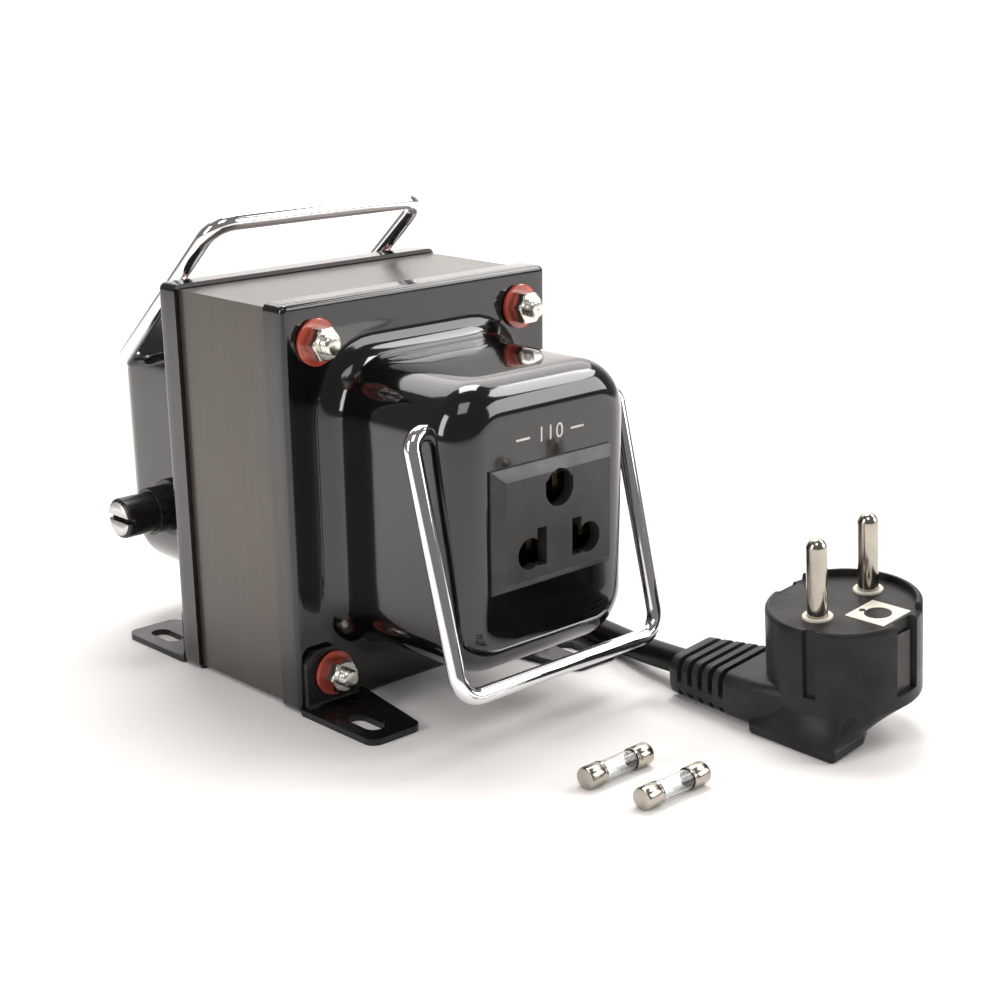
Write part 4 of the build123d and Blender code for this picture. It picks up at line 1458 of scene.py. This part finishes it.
    def build(self) -> list:
        """Shell, collars, pins, plate mark, clips, socket plate and the cord's bushing.

        Returns:
            The pieces that go with the cord.
        """
        finishes, ys = self.finishes, (-self.pin_y, self.pin_y)
        shell = surface("plug_shell", [self.head(), self.arm()], caps=True)
        pieces = [dress(shell, finishes.plug_vinyl, "root", "black_plastic", "plug_body")]
        collars = surface("plug_collars", [self.turned(0, y, self.collar) for y in ys])
        pieces.append(dress(collars, finishes.cream, "root", "cream_plastic", "plug_pin_collars"))
        pins = surface("plug_pin_pair", [self.turned(0, y, self.pin_profile()) for y in ys])
        pieces.append(dress(pins, finishes.pin_nickel, "root", "nickel", "plug_pins"))
        mark = surface("plug_plate_mark", [self.turned(*self.mark_place, self.mark, self.mark_round)])
        pieces.append(dress(mark, finishes.plastic, "root", "black_plastic"))
        for node, name, soft, finish, slot in (
                ("plug_earth_clips", "plug_clips", 0.15 * MM, finishes.clip_painted_shade, "nickel"),
                ("plug_earth_socket", "plug_socket_plate", 0.2 * MM, finishes.cream, "cream_plastic"),
                ("cord_bushing", "cord_relief", 0.3 * MM, finishes.cord_vinyl, "black_rubber")):
            pieces.append(dress(refined(node, name, soft), finish, "root", slot, node))
        return pieces


@dataclass(frozen=True)
class SoftBox:
    """One soft rectangular light; place, aim and size in metres, power in watts."""

    name: str
    place: tuple
    aim: tuple
    size: tuple
    power: float
    tint: tuple = (1.0, 0.98, 0.96)

    def build(self) -> None:
        """Hangs the light at its place, turned to its aim."""
        data = bpy.data.lights.new(self.name, "AREA")
        data.shape = "RECTANGLE"
        data.size, data.size_y = self.size
        data.energy = self.power
        data.color = self.tint
        lamp = bpy.data.objects.new(self.name, data)
        lamp.location = self.place
        away = Vector(self.aim) - Vector(self.place)
        lamp.rotation_euler = away.to_track_quat("-Z", "Y").to_euler()
        bpy.context.scene.collection.objects.link(lamp)


@dataclass
class Studio:
    """Pale floor that curves up behind, soft lights and the camera."""

    azimuth: float = 46.914
    elevation: float = 19.178
    roll: float = -0.62
    distance: float = 438.66 * MM
    focal_px: float = 1828.34
    target_x: float = 50.96 * MM
    target_z: float = 25.73 * MM
    centre_y_px: float = 600.0
    frame_px: float = 1000.0
    sensor: float = 36.0
    floor_near: float = -2.5
    floor_far: float = 1.6
    floor_half: float = 4.0
    cove_r: float = 0.8
    cove_rows: int = 16
    wall_height: float = 3.0
    sky: tuple = (1.0, 0.98, 0.96, 1.0)
    sky_strength: float = 0.2
    middle: tuple = (0.03, 0.0, 0.04)

    def axes(self) -> tuple:
        """The camera's directions, rolled about the view.

        Returns:
            Right, up and back.
        """
        a, e, r = (math.radians(v) for v in (self.azimuth, self.elevation, self.roll))
        back = Vector((math.sin(a) * math.cos(e), -math.cos(a) * math.cos(e), math.sin(e)))
        right = (-back).cross(Vector((0, 0, 1))).normalized()
        up = right.cross(-back)
        return (math.cos(r) * right + math.sin(r) * up, -math.sin(r) * right + math.cos(r) * up, back)

    def camera(self) -> None:
        """Camera at the photograph's viewing angle."""
        right, up, back = self.axes()
        data = bpy.data.cameras.new("camera")
        data.sensor_width = self.sensor
        data.lens = self.focal_px / self.frame_px * self.sensor
        data.shift_y = (self.centre_y_px - self.frame_px / 2) / self.frame_px
        data.clip_start = 0.01
        data.clip_end = 30.0
        place = Vector((self.target_x, 0, self.target_z)) + back * self.distance
        camera = bpy.data.objects.new("camera", data)
        turn = Matrix((right, up, back)).transposed().to_4x4()
        camera.matrix_world = Matrix.Translation(place) @ turn
        bpy.context.scene.collection.objects.link(camera)
        bpy.context.scene.camera = camera

    def sweep(self) -> None:
        """Floor and wall in one sheet: flat, then a quarter circle, then upright."""
        phi = np.linspace(0, QUARTER, self.cove_rows)
        run = np.concatenate([[self.floor_near], self.floor_far + self.cove_r * np.sin(phi),
                              [self.floor_far + self.cove_r]])
        rise = np.concatenate([[0.0], self.cove_r * (1 - np.cos(phi)), [self.wall_height]])
        _, _, back = self.axes()
        away = Vector((-back.x, -back.y, 0)).normalized()
        across = Vector((-away.y, away.x, 0))
        side = np.array([-self.floor_half, self.floor_half])
        points = (run[:, None, None] * np.array(away) + side[None, :, None] * np.array(across)
                  + rise[:, None, None] * np.array([0, 0, 1]))
        floor = surface("studio_floor", [points], seam=Seam.OPEN)
        if floor.data.polygons[0].normal.z < 0:
            floor.data.flip_normals()
        floor.data.materials.append(StudioPaper().make())

    def world(self) -> None:
        """A faint, even light from all round."""
        world = bpy.data.worlds.new("studio_world")
        world.use_nodes = True
        background = world.node_tree.nodes["Background"]
        background.inputs["Color"].default_value = self.sky
        background.inputs["Strength"].default_value = self.sky_strength
        bpy.context.scene.world = world
        bpy.context.scene.view_settings.view_transform = "Standard"

    def build(self) -> None:
        """Camera, floor, world and lights."""
        self.camera()
        self.sweep()
        self.world()
        for light in (
                SoftBox("overhead", (-0.25, 0.25, 1.0), self.middle, (0.5, 0.36), 6.0),
                SoftBox("edge_light", (0.28, 0.68, 0.75), self.middle, (0.42, 0.3), 2.8),
                SoftBox("left_box", (-0.15, -1.0, 0.5), self.middle, (0.3, 0.7), 5.0),
                SoftBox("right_box", (1.0, 0.95, 0.58), (0.07, 0.0, 0.06), (0.9, 0.7), 9.0),
                SoftBox("far_wash", (-1.3, 1.3, 1.5), (-1.5, 1.5, 0.0), (2.4, 2.4), 46.0),
                SoftBox("near_wash", (0.5, -0.45, 1.1), (0.2, -0.15, 0.0), (0.5, 0.5), 2.5)):
            light.build()


def main() -> None:
    """Builds every sub-assembly in order."""
    logging.basicConfig(level=logging.INFO, format="%(message)s")
    finishes = Finishes()
    Studio().build()
    plug_pieces = Plug(finishes).build()
    MainsCord(finishes).build(plug_pieces)
    Core(finishes).build()
    EndBell(finishes, Side.FRONT).build()
    EndBell(finishes, Side.REAR).build()
    Feet(finishes).build()
    Fasteners(finishes).build()
    Outlet(finishes).build()
    FuseHolder(finishes).build()
    SpareFuses(finishes).build()
    WireHandle(finishes, Side.FRONT, FRONT_SWING).build()
    WireHandle(finishes, Side.REAR, REAR_SWING).build()


if __name__ == "__main__":
    main()
